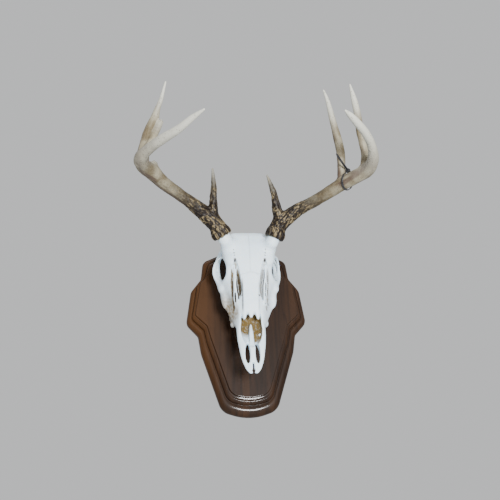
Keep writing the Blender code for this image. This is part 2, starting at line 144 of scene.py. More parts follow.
def cell_distance(points: np.ndarray, seed: int) -> np.ndarray:
    """How far each point lies from the nearest of many scattered seeds, one to a cell.

    Args:
        points: Places, with the three axes last, one cell a unit.
        seed: Chooses one of many patterns.

    Returns:
        Distances, 0 at a seed and about 1 between seeds.
    """
    base = np.floor(points)
    nearest = np.full(points.shape[:-1], 9.0)
    for corner in np.ndindex(3, 3, 3):
        cell = base + np.array(corner) - 1
        jitter = np.stack([lattice(cell, seed + axis) for axis in range(3)], axis=-1)
        nearest = np.minimum(nearest, np.linalg.norm(cell + jitter - points, axis=-1))
    return nearest


def smooth_step(values: np.ndarray, low: float, high: float) -> np.ndarray:
    """Ease from 0 at low to 1 at high."""
    share = np.clip((values - low) / (high - low), 0.0, 1.0)
    return share * share * (3.0 - 2.0 * share)


def smooth_fall(values: np.ndarray, low: float, high: float) -> np.ndarray:
    """Ease from 1 at low to 0 at high."""
    return 1.0 - smooth_step(values, low, high)


def at_least(share: np.ndarray, least: float) -> np.ndarray:
    """Squeeze shares from 0 to 1 into the range from the least one to 1."""
    return least + (1.0 - least) * share


def read_table(rows: tuple[Row, ...], where: np.ndarray) -> np.ndarray:
    """The values between the rows of rising place and value."""
    return np.interp(where, *np.array(rows, dtype=float).T)


def smooth_route(rows: tuple[Row, ...], steps: int) -> np.ndarray:
    """A smooth curve through the rows.

    Args:
        rows: Numbers for each point, place and radius alike.
        steps: Samples from each row to the next.

    Returns:
        The samples, the last row among them.
    """
    knots = np.array([rows[0], *rows, rows[-1]], dtype=float)
    t = (np.arange(steps) / steps)[:, None]
    spans = []
    for p0, p1, p2, p3 in zip(knots, knots[1:], knots[2:], knots[3:]):
        slope = (p2 - p0) * t + (2 * p0 - 5 * p1 + 4 * p2 - p3) * t**2 + (3 * p1 - p0 - 3 * p2 + p3) * t**3
        spans.append(p1 + slope / 2)
    return np.concatenate([*spans, knots[-1:]])


class Volume:
    """A box of evenly spaced samples of how far each place lies outside a form, in millimetres."""

    FAR = 60.0

    def __init__(self, low: np.ndarray, high: np.ndarray, step: float) -> None:
        """Fill the box with emptiness.

        Args:
            low: Lowest corner.
            high: Highest corner.
            step: Distance between samples.
        """
        self.low = np.asarray(low, dtype=float)
        self.step = step
        counts = np.ceil((np.asarray(high, dtype=float) - self.low) / step).astype(int) + 1
        self.values = np.full(tuple(counts), self.FAR, dtype=np.float32)

    def axes(self) -> list[np.ndarray]:
        """The sample positions along each axis."""
        return [self.low[i] + self.step * np.arange(count) for i, count in enumerate(self.values.shape)]

    def window(self, low: np.ndarray, high: np.ndarray) -> tuple[tuple[slice, ...], list[np.ndarray]]:
        """The part of the box between two corners.

        Args:
            low: Lowest corner of the part.
            high: Highest corner of the part.

        Returns:
            The slices of the samples, and their positions shaped to spread over the part.
        """
        first = np.clip(np.floor((low - self.low) / self.step).astype(int), 0, np.array(self.values.shape) - 1)
        last = np.clip(np.ceil((high - self.low) / self.step).astype(int) + 1, first + 1, self.values.shape)
        cut = tuple(slice(a, b) for a, b in zip(first, last))
        spread = [axis[part].reshape(shape) for axis, part, shape in zip(self.axes(), cut, SPREADS)]
        return cut, spread

    def change(self, cut: tuple[slice, ...], other: np.ndarray, joining: Joining, blend: float) -> None:
        """Add a form or take it away.

        Args:
            cut: The slices of the samples that it touches.
            other: Distances to the form there.
            joining: Whether it adds bone or takes it away.
            blend: Size of the rounding where it meets the rest.
        """
        here = self.values[cut]
        if joining is Joining.ADD:
            share = np.clip(0.5 + 0.5 * (other - here) / blend, 0.0, 1.0)
            self.values[cut] = other * (1 - share) + here * share - blend * share * (1 - share)
        else:
            share = np.clip(0.5 - 0.5 * (here + other) / blend, 0.0, 1.0)
            self.values[cut] = here * (1 - share) - other * share + blend * share * (1 - share)

    def ball(self, centre: Row, radii: Row, joining: Joining, blend: float) -> None:
        """Add or take away an ellipsoid.

        Args:
            centre: Its middle.
            radii: Its half sizes along the axes.
            joining: Whether it adds bone or takes it away.
            blend: Size of the rounding where it meets the rest.
        """
        middle, size = np.array(centre, dtype=float), np.array(radii, dtype=float)
        reach = size + self.margin(blend)
        cut, spread = self.window(middle - reach, middle + reach)
        x, y, z = (((axis - m) / s) ** 2 for axis, m, s in zip(spread, middle, size))
        self.change(cut, (np.sqrt(x + y + z) - 1.0) * size.min(), joining, blend)

    @staticmethod
    def margin(blend: float) -> float:
        """How far round a form the samples change."""
        return 3 * blend + 2

    def rod_field(self, route: np.ndarray, margin: float) -> tuple[tuple[slice, ...], np.ndarray]:
        """Distances to a rod of changing radius.

        Args:
            route: Rows of place and radius.
            margin: How far round the rod the distances hold.

        Returns:
            The slices that the rod touches and the distances there.
        """
        radius = route[:, 3].max() + margin
        cut, _ = self.window(route[:, :3].min(0) - radius, route[:, :3].max(0) + radius)
        field_values = np.full(self.values[cut].shape, self.FAR, dtype=np.float32)
        starts = np.array([part.start for part in cut])
        for a, b in zip(route[:-1], route[1:]):
            reach = max(a[3], b[3]) + margin
            low, high = np.minimum(a[:3], b[:3]) - reach, np.maximum(a[:3], b[:3]) + reach
            inner, spread = self.window(low, high)
            local = tuple(slice(part.start - s, part.stop - s) for part, s in zip(inner, starts))
            run = b[:3] - a[:3]
            length = max(float(run @ run), TINY)
            x, y, z = (axis - start for axis, start in zip(spread, a))
            share = np.clip((x * run[0] + y * run[1] + z * run[2]) / length, 0.0, 1.0)
            x, y, z = ((offset - share * part) ** 2 for offset, part in zip((x, y, z), run))
            distance = np.sqrt(x + y + z) - (a[3] + share * (b[3] - a[3]))
            target = field_values[local]
            shape = tuple(min(p, q) for p, q in zip(target.shape, distance.shape))
            trim = tuple(slice(0, count) for count in shape)
            field_values[local][trim] = np.minimum(target[trim], distance[trim])
        return cut, field_values

    def rod(self, route: np.ndarray, joining: Joining, blend: float) -> None:
        """Add or take away a rod of changing radius."""
        cut, distance = self.rod_field(route, self.margin(blend))
        self.change(cut, distance, joining, blend)

    def surface(self) -> tuple[np.ndarray, np.ndarray]:
        """The form's skin.

        Returns:
            Points, and quads as rows of four point numbers that face out.
        """
        values = self.values
        inside = values < 0
        cells = tuple(count - 1 for count in values.shape)
        hits = np.zeros(cells, dtype=np.uint8)
        corners = list(np.ndindex(2, 2, 2))
        for i, j, k in corners:
            hits += inside[i:cells[0] + i, j:cells[1] + j, k:cells[2] + k]
        active = np.argwhere((hits > 0) & (hits < 8))
        samples = np.stack([values[tuple((active + corner).T)] for corner in corners], axis=1).astype(float)
        total, count = np.zeros((len(active), 3)), np.zeros(len(active))
        for first, a in enumerate(corners):
            for axis in range(3):
                if a[axis] == 1:
                    continue
                b = tuple(1 if i == axis else a[i] for i in range(3))
                second = corners.index(b)
                v0, v1 = samples[:, first], samples[:, second]
                crosses = (v0 < 0) != (v1 < 0)
                gap = np.where(crosses, v0 - v1, 1.0)
                point = np.tile(np.array(a, dtype=float), (len(active), 1))
                point[:, axis] = v0 / gap
                total[crosses] += point[crosses]
                count[crosses] += 1
        points = self.low + self.step * (active + total / count[:, None])
        number = np.full(cells, -1, dtype=np.int64)
        number[tuple(active.T)] = np.arange(len(active))
        return points, self._quads(inside, number)

    @staticmethod
    def _quads(inside: np.ndarray, number: np.ndarray) -> np.ndarray:
        """Join the cells round each sample pair that the skin passes between.

        Args:
            inside: Which samples lie in the form.
            number: The point number of each cell, or -1.

        Returns:
            Rows of four point numbers.
        """
        quads = []
        for axis in range(3):
            u, v = [i for i in range(3) if i != axis]
            lower = np.take(inside, range(inside.shape[axis] - 1), axis=axis)
            upper = np.take(inside, range(1, inside.shape[axis]), axis=axis)
            edges = np.argwhere(lower != upper)
            edges = edges[(edges[:, u] > 0) & (edges[:, v] > 0)]
            edges = edges[(edges[:, u] < number.shape[u]) & (edges[:, v] < number.shape[v])]
            outward = lower[tuple(edges.T)]
            around = []
            for du, dv in ((1, 1), (0, 1), (0, 0), (1, 0)):
                cell = edges.copy()
                cell[:, u] -= du
                cell[:, v] -= dv
                around.append(number[tuple(cell.T)])
            ring = np.stack(around, axis=1)
            flip = outward if axis == 1 else ~outward
            ring[flip] = ring[flip][:, ::-1]
            quads.append(ring)
        return np.concatenate(quads)


def relaxed(points: np.ndarray, quads: np.ndarray, rounds: int, pull: float = 0.5) -> np.ndarray:
    """Ease each point towards the middle of its neighbours.

    Args:
        points: Places, one a row.
        quads: Rows of four point numbers.
        rounds: How many times they are eased.
        pull: Share of the way in each round.

    Returns:
        The eased points.
    """
    edges = np.concatenate([quads[:, [i, (i + 1) % 4]] for i in range(4)])
    count = np.bincount(edges[:, 0], minlength=len(points)).astype(float)
    count += np.bincount(edges[:, 1], minlength=len(points))
    count = np.maximum(count, 1.0)
    for _ in range(rounds):
        middle = np.empty_like(points)
        for axis in range(3):
            total = np.bincount(edges[:, 0], points[edges[:, 1], axis], minlength=len(points))
            total += np.bincount(edges[:, 1], points[edges[:, 0], axis], minlength=len(points))
            middle[:, axis] = total / count
        points = points + (middle - points) * pull
    return points


def point_normals(points: np.ndarray, quads: np.ndarray) -> np.ndarray:
    """The outward direction at each point.

    Args:
        points: Places, one a row.
        quads: Rows of four point numbers.

    Returns:
        Directions of unit length.
    """
    face = np.cross(points[quads[:, 2]] - points[quads[:, 0]], points[quads[:, 3]] - points[quads[:, 1]])
    normals = np.zeros_like(points)
    for corner in range(4):
        for axis in range(3):
            normals[:, axis] += np.bincount(quads[:, corner], face[:, axis], minlength=len(points))
    return normals / np.maximum(np.linalg.norm(normals, axis=1, keepdims=True), TINY)


def shown(name: str, data: bpy.types.ID) -> bpy.types.Object:
    """Make an object of the data in the scene.

    Args:
        name: The object's name.
        data: What it shows.

    Returns:
        The object.
    """
    thing = bpy.data.objects.new(name, data)
    bpy.context.scene.collection.objects.link(thing)
    return thing


def mesh_object(name: str, points: np.ndarray, quads: np.ndarray, masks: dict[str, np.ndarray]) -> bpy.types.Object:
    """Make an object of quads.

    Args:
        name: The object's name.
        points: Places in millimetres.
        quads: Rows of four point numbers.
        masks: A value for each point, under the name that the material reads.

    Returns:
        The object, smooth shaded.
    """
    mesh = bpy.data.meshes.new(name)
    mesh.vertices.add(len(points))
    mesh.vertices.foreach_set("co", (points * MM).astype(np.float32).ravel())
    mesh.loops.add(quads.size)
    mesh.loops.foreach_set("vertex_index", quads.astype(np.int32).ravel())
    mesh.polygons.add(len(quads))
    mesh.polygons.foreach_set("loop_start", np.arange(0, quads.size, 4, dtype=np.int32))
    mesh.update(calc_edges=True)
    mesh.shade_smooth()
    for label, values in masks.items():
        layer = mesh.attributes.new(label, "FLOAT", "POINT")
        layer.data.foreach_set("value", values.astype(np.float32))
    return shown(name, mesh)


def bmesh_object(name: str, shape: bmesh.types.BMesh, sharp_degrees: float) -> bpy.types.Object:
    """Make an object of a bmesh, smooth except at edges sharper than the given angle.

    Args:
        name: The object's name.
        shape: The bmesh, which is freed.
        sharp_degrees: The angle from which an edge stays sharp.

    Returns:
        The object.
    """
    bmesh.ops.recalc_face_normals(shape, faces=shape.faces)
    mesh = bpy.data.meshes.new(name)
    shape.to_mesh(mesh)
    shape.free()
    mesh.shade_smooth()
    mesh.set_sharp_from_angle(angle=math.radians(sharp_degrees))
    return shown(name, mesh)


class Nodes:
    """Short ways to place and join shader nodes in one tree."""

    # The mix node's colour sockets go by number, because others share their names.
    MIX_SHARE, MIX_FIRST, MIX_SECOND, MIX_COLOUR = 0, 6, 7, 2

    def __init__(self, tree: bpy.types.NodeTree) -> None:
        """Work in the given tree."""
        self.tree = tree

    def add(self, kind: str, settings: dict[str, object] | None = None, **inputs: object) -> bpy.types.Node:
        """Place a node.

        Args:
            kind: The node's type.
            settings: Properties of the node itself.
            **inputs: Values or sockets for its inputs, with spaces written as underscores.

        Returns:
            The node.
        """
        node = self.tree.nodes.new(kind)
        for name, value in (settings or {}).items():
            setattr(node, name, value)
        for name, value in inputs.items():
            self.feed(node.inputs[name.replace("_", " ")], value)
        return node

    def feed(self, socket: bpy.types.NodeSocket, value: object) -> None:
        """Link a socket to the input, or set its value.

        Args:
            socket: The input.
            value: A socket or a plain value.
        """
        if isinstance(value, bpy.types.NodeSocket):
            self.tree.links.new(value, socket)
        else:
            socket.default_value = value

    def math(self, operation: str, first: object, second: object = 0.0) -> bpy.types.NodeSocket:
        """The result of a sum on two numbers.

        Args:
            operation: The node's name for the sum.
            first: A socket or a number.
            second: A socket or a number.

        Returns:
            The result's socket.
        """
        node = self.add("ShaderNodeMath", {"operation": operation})
        self.feed(node.inputs[0], first)
        self.feed(node.inputs[1], second)
        return node.outputs[0]

    def mix(self, share: object, first: object, second: object) -> bpy.types.NodeSocket:
        """A colour between two colours.

        Args:
            share: 0 for the first and 1 for the second.
            first: A socket or a colour.
            second: A socket or a colour.

        Returns:
            The colour's socket.
        """
        node = self.add("ShaderNodeMix", {"data_type": "RGBA"})
        self.feed(node.inputs[self.MIX_SHARE], share)
        self.feed(node.inputs[self.MIX_FIRST], first)
        self.feed(node.inputs[self.MIX_SECOND], second)
        return node.outputs[self.MIX_COLOUR]

    def ramp(self, value: object, low: float, high: float) -> bpy.types.NodeSocket:
        """A number that eases from 0 to 1 between low and high.

        Args:
            value: A socket or a number.
            low: Where it starts to rise.
            high: Where it reaches 1.

        Returns:
            The number's socket.
        """
        node = self.add("ShaderNodeMapRange", {"interpolation_type": "SMOOTHSTEP"}, Value=value)
        self.feed(node.inputs["From Min"], low)
        self.feed(node.inputs["From Max"], high)
        return node.outputs["Result"]

    def mask(self, name: str) -> bpy.types.NodeSocket:
        """The value that the mesh holds under a name."""
        return self.add("ShaderNodeAttribute", {"attribute_name": name}).outputs["Fac"]

    def place(self, scale: tuple[float, float, float]) -> bpy.types.NodeSocket:
        """Places on the object in metres, stretched by the scale."""
        source = self.add("ShaderNodeTexCoord").outputs["Object"]
        return self.add("ShaderNodeMapping", None, Vector=source, Scale=scale).outputs["Vector"]


class SharedEffects:
    """The node groups that several finishes use, each built once."""

    COLOUR = "NodeSocketColor"
    NUMBER = "NodeSocketFloat"
    VECTOR = "NodeSocketVector"
    WHITE, BLACK, ORIGIN = (1, 1, 1, 1), (0, 0, 0, 1), (0, 0, 0)
    CLOUD_DETAIL = 4.0
    CLOUD_EDGES = (0.35, 0.68)
    FINE_DETAIL = 3.0
    FINE_RATIO = 9.0
    DIRT_DETAIL = 4.0
    DIRT_SCALE = 260.0

    @staticmethod
    def _new(name: str, inputs: dict[str, tuple[str, object]], outputs: dict[str, str]) -> tuple[Nodes, dict]:
        """Start a group with named sockets.

        Args:
            name: The group's name.
            inputs: Each input's kind and value, under its name.
            outputs: Each output's kind, under its name.

        Returns:
            The group's nodes, and its two ends under "in" and "out".
        """
        tree = bpy.data.node_groups.new(name, "ShaderNodeTree")
        for label, (kind, value) in inputs.items():
            socket = tree.interface.new_socket(label, in_out="INPUT", socket_type=kind)
            socket.default_value = value
        for label, kind in outputs.items():
            tree.interface.new_socket(label, in_out="OUTPUT", socket_type=kind)
        nodes = Nodes(tree)
        ends = {"in": nodes.add("NodeGroupInput"), "out": nodes.add("NodeGroupOutput")}
        return nodes, ends

    @classmethod
    @cache
    def mottle(cls) -> bpy.types.NodeTree:
        """Cloudy change between two colours, with a fine height that goes with it.

        Returns:
            The group.
        """
        nodes, ends = cls._new(
            "mottle",
            {"First": (cls.COLOUR, cls.WHITE), "Second": (cls.COLOUR, cls.BLACK), "Vector": (cls.VECTOR, cls.ORIGIN),
             "Scale": (cls.NUMBER, 30.0), "Amount": (cls.NUMBER, 1.0)},
            {"Color": cls.COLOUR, "Height": cls.NUMBER},
        )
        source = ends["in"].outputs
        broad = nodes.add("ShaderNodeTexNoise", None, Vector=source["Vector"], Scale=source["Scale"],
                          Detail=cls.CLOUD_DETAIL)
        fine_scale = nodes.math("MULTIPLY", source["Scale"], cls.FINE_RATIO)
        fine = nodes.add("ShaderNodeTexNoise", None, Vector=source["Vector"], Scale=fine_scale,
                         Detail=cls.FINE_DETAIL)
        share = nodes.math("MULTIPLY", nodes.ramp(broad.outputs["Fac"], *cls.CLOUD_EDGES), source["Amount"])
        nodes.feed(ends["out"].inputs["Color"], nodes.mix(share, source["First"], source["Second"]))
        nodes.feed(ends["out"].inputs["Height"], fine.outputs["Fac"])
        return nodes.tree

    @classmethod
    @cache
    def crevice(cls) -> bpy.types.NodeTree:
        """Tint a colour where a mask on the mesh says that dirt, stains, dark seams or painted shade lie.

        Returns:
            The group.
        """
        nodes, ends = cls._new(
            "crevice",
            {"Color": (cls.COLOUR, cls.WHITE), "Tint": (cls.COLOUR, cls.BLACK), "Mask": (cls.NUMBER, 0.0),
             "Vector": (cls.VECTOR, cls.ORIGIN), "Raggedness": (cls.NUMBER, 0.4)},
            {"Color": cls.COLOUR},
        )
        source = ends["in"].outputs
        noise = nodes.add("ShaderNodeTexNoise", None, Vector=source["Vector"], Scale=cls.DIRT_SCALE,
                          Detail=cls.DIRT_DETAIL)
        wobble = nodes.math("MULTIPLY", nodes.math("SUBTRACT", noise.outputs["Fac"], 0.5), source["Raggedness"])
        inner = nodes.math("MULTIPLY", source["Mask"], nodes.math("ADD", wobble, 1.0))
        share = nodes.add("ShaderNodeClamp", None, Value=inner).outputs[0]
        nodes.feed(ends["out"].inputs["Color"], nodes.mix(share, source["Color"], source["Tint"]))
        return nodes.tree


@dataclass(frozen=True)
class Finish:
    """What every finish has: a slot's name and a roughness."""

    slot: Slot
    roughness: float

    def start(self) -> tuple[bpy.types.Material, Nodes, bpy.types.Node]:
        """Start a material of the slot's name.

        Returns:
            The material, its nodes and its shader.
        """
        material = bpy.data.materials.new(self.slot.value)
        material.use_nodes = True
        shader = material.node_tree.nodes["Principled BSDF"]
        shader.inputs["Roughness"].default_value = self.roughness
        return material, Nodes(material.node_tree), shader

    @staticmethod
    def effect(nodes: Nodes, tree: bpy.types.NodeTree, **inputs: object) -> bpy.types.Node:
        """Place a shared effect in a material.

        Args:
            nodes: The material's nodes.
            tree: The effect's group.
            **inputs: Values or sockets for the group's inputs.

        Returns:
            The group's node.
        """
        node = nodes.add("ShaderNodeGroup", {"node_tree": tree})
        for name, value in inputs.items():
            nodes.feed(node.inputs[name], value)
        return node

    @staticmethod
    def bump(nodes: Nodes, shader: bpy.types.Node, height: object, distance: float, strength: float) -> None:
        """Feed a height to the shader's normal."""
        bump = nodes.add("ShaderNodeBump", None, Strength=strength, Distance=distance, Height=height)
        nodes.feed(shader.inputs["Normal"], bump.outputs["Normal"])


@dataclass(frozen=True)
class WalnutFinish(Finish):
    """Varnished black walnut, glued up from upright staves."""

    heart: Row = (0.015, 0.0068, 0.0032, 1)
    streak: Row = (0.005, 0.0025, 0.0015, 1)
    sap: Row = (0.046, 0.0195, 0.0075, 1)
    warm: Row = (0.086, 0.034, 0.0075, 1)
    specular: float = 0.1
    coat: float = 0.24
    coat_roughness: float = 0.1
    # Scales that stretch each pattern up the board.
    cloud_stretch: Row = (1.0, 1.0, 0.07)
    band_stretch: Row = (1.0, 0.6, 0.10)
    pore_stretch: Row = (1.0, 1.0, 0.03)
    cloud_scale: float = 34.0
    cloud_amount: float = 0.55
    band_scale: float = 30.0
    band_distortion: float = 16.0
    band_detail: float = 4.0
    band_detail_scale: float = 1.4
    band_edges: Row = (0.45, 1.0)
    band_amount: float = 0.35
    # The pale stave between two joints and the warm left side, in millimetres across the board.
    stave_left: Row = (-13.0, -12.2)
    stave_right: Row = (-0.6, -1.4)
    stave_amount: float = 0.35
    warm_edges: Row = (-25.0, -95.0)
    warm_amount: float = 0.5
    pore_scale: float = 1500.0
    pore_detail: float = 2.0
    pore_edges: Row = (0.60, 0.72)
    pore_amount: float = 0.6
    grain_height: float = 0.3
    bump_distance: float = 0.00012
    bump_strength: float = 0.35

    def material(self) -> bpy.types.Material:
        """Grain that runs up the board, with pores, dark streaks and one paler stave.

        Returns:
            The material.
        """
        material, nodes, shader = self.start()
        shader.inputs["Specular IOR Level"].default_value = self.specular
        shader.inputs["Coat Weight"].default_value = self.coat
        shader.inputs["Coat Roughness"].default_value = self.coat_roughness
        along = nodes.place(self.cloud_stretch)
        base = self.effect(nodes, SharedEffects.mottle(), First=self.heart, Second=self.sap, Vector=along,
                           Scale=self.cloud_scale, Amount=self.cloud_amount)
        bands = nodes.add("ShaderNodeTexWave", {"bands_direction": "X"}, Vector=nodes.place(self.band_stretch),
                          Scale=self.band_scale, Distortion=self.band_distortion, Detail=self.band_detail,
                          Detail_Scale=self.band_detail_scale)
        dark = nodes.math("MULTIPLY", nodes.ramp(bands.outputs["Fac"], *self.band_edges), self.band_amount)
        grained = nodes.mix(dark, base.outputs["Color"], self.streak)
        in_millimetres = nodes.place((1 / MM, 1 / MM, 1 / MM))
        across = nodes.add("ShaderNodeSeparateXYZ", None, Vector=in_millimetres).outputs["X"]
        pale = nodes.math("MULTIPLY", nodes.ramp(across, *self.stave_left), nodes.ramp(across, *self.stave_right))
        left = nodes.math("MULTIPLY", nodes.ramp(across, *self.warm_edges), self.warm_amount)
        staved = nodes.mix(nodes.math("MULTIPLY", pale, self.stave_amount), grained, self.sap)
        staved = nodes.mix(left, staved, self.warm)
        pores = nodes.add("ShaderNodeTexNoise", None, Vector=nodes.place(self.pore_stretch), Scale=self.pore_scale,
                          Detail=self.pore_detail)
        pore_mask = nodes.ramp(pores.outputs["Fac"], *self.pore_edges)
        pored = nodes.mix(nodes.math("MULTIPLY", pore_mask, self.pore_amount), staved, self.streak)
        nodes.feed(shader.inputs["Base Color"], pored)
        grain = nodes.math("MULTIPLY", base.outputs["Height"], self.grain_height)
        height = nodes.math("SUBTRACT", grain, pore_mask)
        self.bump(nodes, shader, height, self.bump_distance, self.bump_strength)
        return material


@dataclass(frozen=True)
class BoneFinish(Finish):
    """Whitened bone, yellowish where thin or stained, painted tan and dark as shade in its hollows and holes, with
    dark seams.
    """

    white: Row = (0.77, 0.89, 0.97, 1)
    cool: Row = (0.62, 0.77, 0.90, 1)
    # Tan for the stains and for painted warm shade; dark for the seams and for painted shade in hollows and holes.
    stain_and_shade: Row = (0.155, 0.100, 0.028, 1)
    dark: Row = (0.035, 0.026, 0.018, 1)
    glow: float = 0.12
    glow_reach: Row = (0.004, 0.003, 0.002)
    glow_scale: float = 0.6
    cloud_scale: float = 26.0
    cloud_amount: float = 0.45
    stain_raggedness: float = 1.1
    seam_raggedness: float = 0.5
    bump_distance: float = 0.0003
    bump_strength: float = 0.25

    def material(self) -> bpy.types.Material:
        """Slightly translucent, porous bone.

        Returns:
            The material.
        """
        material, nodes, shader = self.start()
        shader.inputs["Subsurface Weight"].default_value = self.glow
        shader.inputs["Subsurface Radius"].default_value = self.glow_reach
        shader.inputs["Subsurface Scale"].default_value = self.glow_scale
        place = nodes.place(UNSTRETCHED)
        base = self.effect(nodes, SharedEffects.mottle(), First=self.white, Second=self.cool, Vector=place,
                           Scale=self.cloud_scale, Amount=self.cloud_amount)
        # Tan where the mask holds stains and painted warm shade, then dark where it holds seams and painted dark
        # shade.
        stained = self.effect(nodes, SharedEffects.crevice(), Color=base.outputs["Color"], Tint=self.stain_and_shade,
                              Mask=nodes.mask("stain_and_shade"), Vector=place, Raggedness=self.stain_raggedness)
        seamed = self.effect(nodes, SharedEffects.crevice(), Color=stained.outputs["Color"], Tint=self.dark,
                             Mask=nodes.mask("seam_and_shade"), Vector=place, Raggedness=self.seam_raggedness)
        nodes.feed(shader.inputs["Base Color"], seamed.outputs["Color"])
        self.bump(nodes, shader, base.outputs["Height"], self.bump_distance, self.bump_strength)
        return material


@dataclass(frozen=True)
class AntlerFinish(Finish):
    """Antler that is nearly black between pale pearls at its base and ivory at its tips."""

    beam: Row = (0.135, 0.105, 0.058, 1)
    pale: Row = (0.33, 0.30, 0.215, 1)
    bead: Row = (0.26, 0.20, 0.105, 1)
    base: Row = (0.007, 0.004, 0.003, 1)
    streak: Row = (0.070, 0.040, 0.032, 1)
    speck: Row = (0.080, 0.062, 0.042, 1)
    tip: Row = (0.60, 0.60, 0.53, 1)
    groove: Row = (0.018, 0.010, 0.006, 1)
    specular: float = 0.25
    cloud_scale: float = 42.0
    cloud_amount: float = 0.9
    speck_scale: float = 210.0
    speck_edges: Row = (0.24, 0.10)
    speck_amount: float = 0.55
    base_raggedness: float = 0.7
    groove_raggedness: float = 0.6
    bump_distance: float = 0.0004
    bump_strength: float = 0.35

    def material(self) -> bpy.types.Material:
        """Colour by the masks that the antler's mesh holds.

        Returns:
            The material.
        """
        material, nodes, shader = self.start()
        shader.inputs["Specular IOR Level"].default_value = self.specular
        place = nodes.place(UNSTRETCHED)
        cloud = self.effect(nodes, SharedEffects.mottle(), First=self.beam, Second=self.pale, Vector=place,
                            Scale=self.cloud_scale, Amount=self.cloud_amount)
        streaked = nodes.mix(nodes.mask("streak"), cloud.outputs["Color"], self.streak)
        tipped = nodes.mix(nodes.mask("tip"), streaked, self.tip)
        cells = nodes.add("ShaderNodeTexVoronoi", None, Vector=place, Scale=self.speck_scale)
        near = nodes.ramp(cells.outputs["Distance"], *self.speck_edges)
        specks = nodes.math("MULTIPLY", near, self.speck_amount)
        tipped = nodes.mix(specks, tipped, self.speck)
        based = self.effect(nodes, SharedEffects.crevice(), Color=tipped, Tint=self.base,
                            Mask=nodes.mask("base"), Vector=place, Raggedness=self.base_raggedness)
        pearled = nodes.mix(nodes.mask("pearl"), based.outputs["Color"], self.bead)
        grooved = self.effect(nodes, SharedEffects.crevice(), Color=pearled, Tint=self.groove,
                              Mask=nodes.mask("groove"), Vector=place, Raggedness=self.groove_raggedness)
        nodes.feed(shader.inputs["Base Color"], grooved.outputs["Color"])
        self.bump(nodes, shader, cloud.outputs["Height"], self.bump_distance, self.bump_strength)
        return material


@dataclass(frozen=True)
class NylonFinish(Finish):
    """Moulded black nylon."""

    black: Row = (0.012, 0.012, 0.014, 1)
    worn: Row = (0.030, 0.030, 0.034, 1)
    cloud_scale: float = 160.0
    cloud_amount: float = 0.8
    bump_distance: float = 0.0001
    bump_strength: float = 0.2

    def material(self) -> bpy.types.Material:
        """Black with faint scuffs.

        Returns:
            The material.
        """
        material, nodes, shader = self.start()
        cloud = self.effect(nodes, SharedEffects.mottle(), First=self.black, Second=self.worn,
                            Vector=nodes.place(UNSTRETCHED), Scale=self.cloud_scale, Amount=self.cloud_amount)
        nodes.feed(shader.inputs["Base Color"], cloud.outputs["Color"])
        self.bump(nodes, shader, cloud.outputs["Height"], self.bump_distance, self.bump_strength)
        return material


def dress(thing: bpy.types.Object, finish: Finish, node: str) -> bpy.types.Object:
    """Give a piece its finish and let it stand for its solid.

    Args:
        thing: The piece.
        finish: The finish that makes its material.
        node: The solid that it replaces.

    Returns:
        The same piece.
    """
    thing.data.materials.clear()
    thing.data.materials.append(finish.material())
    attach(thing, "root")
    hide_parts(node)
    LOG.info("%s: %d faces", thing.name, len(thing.data.polygons))
    return thing


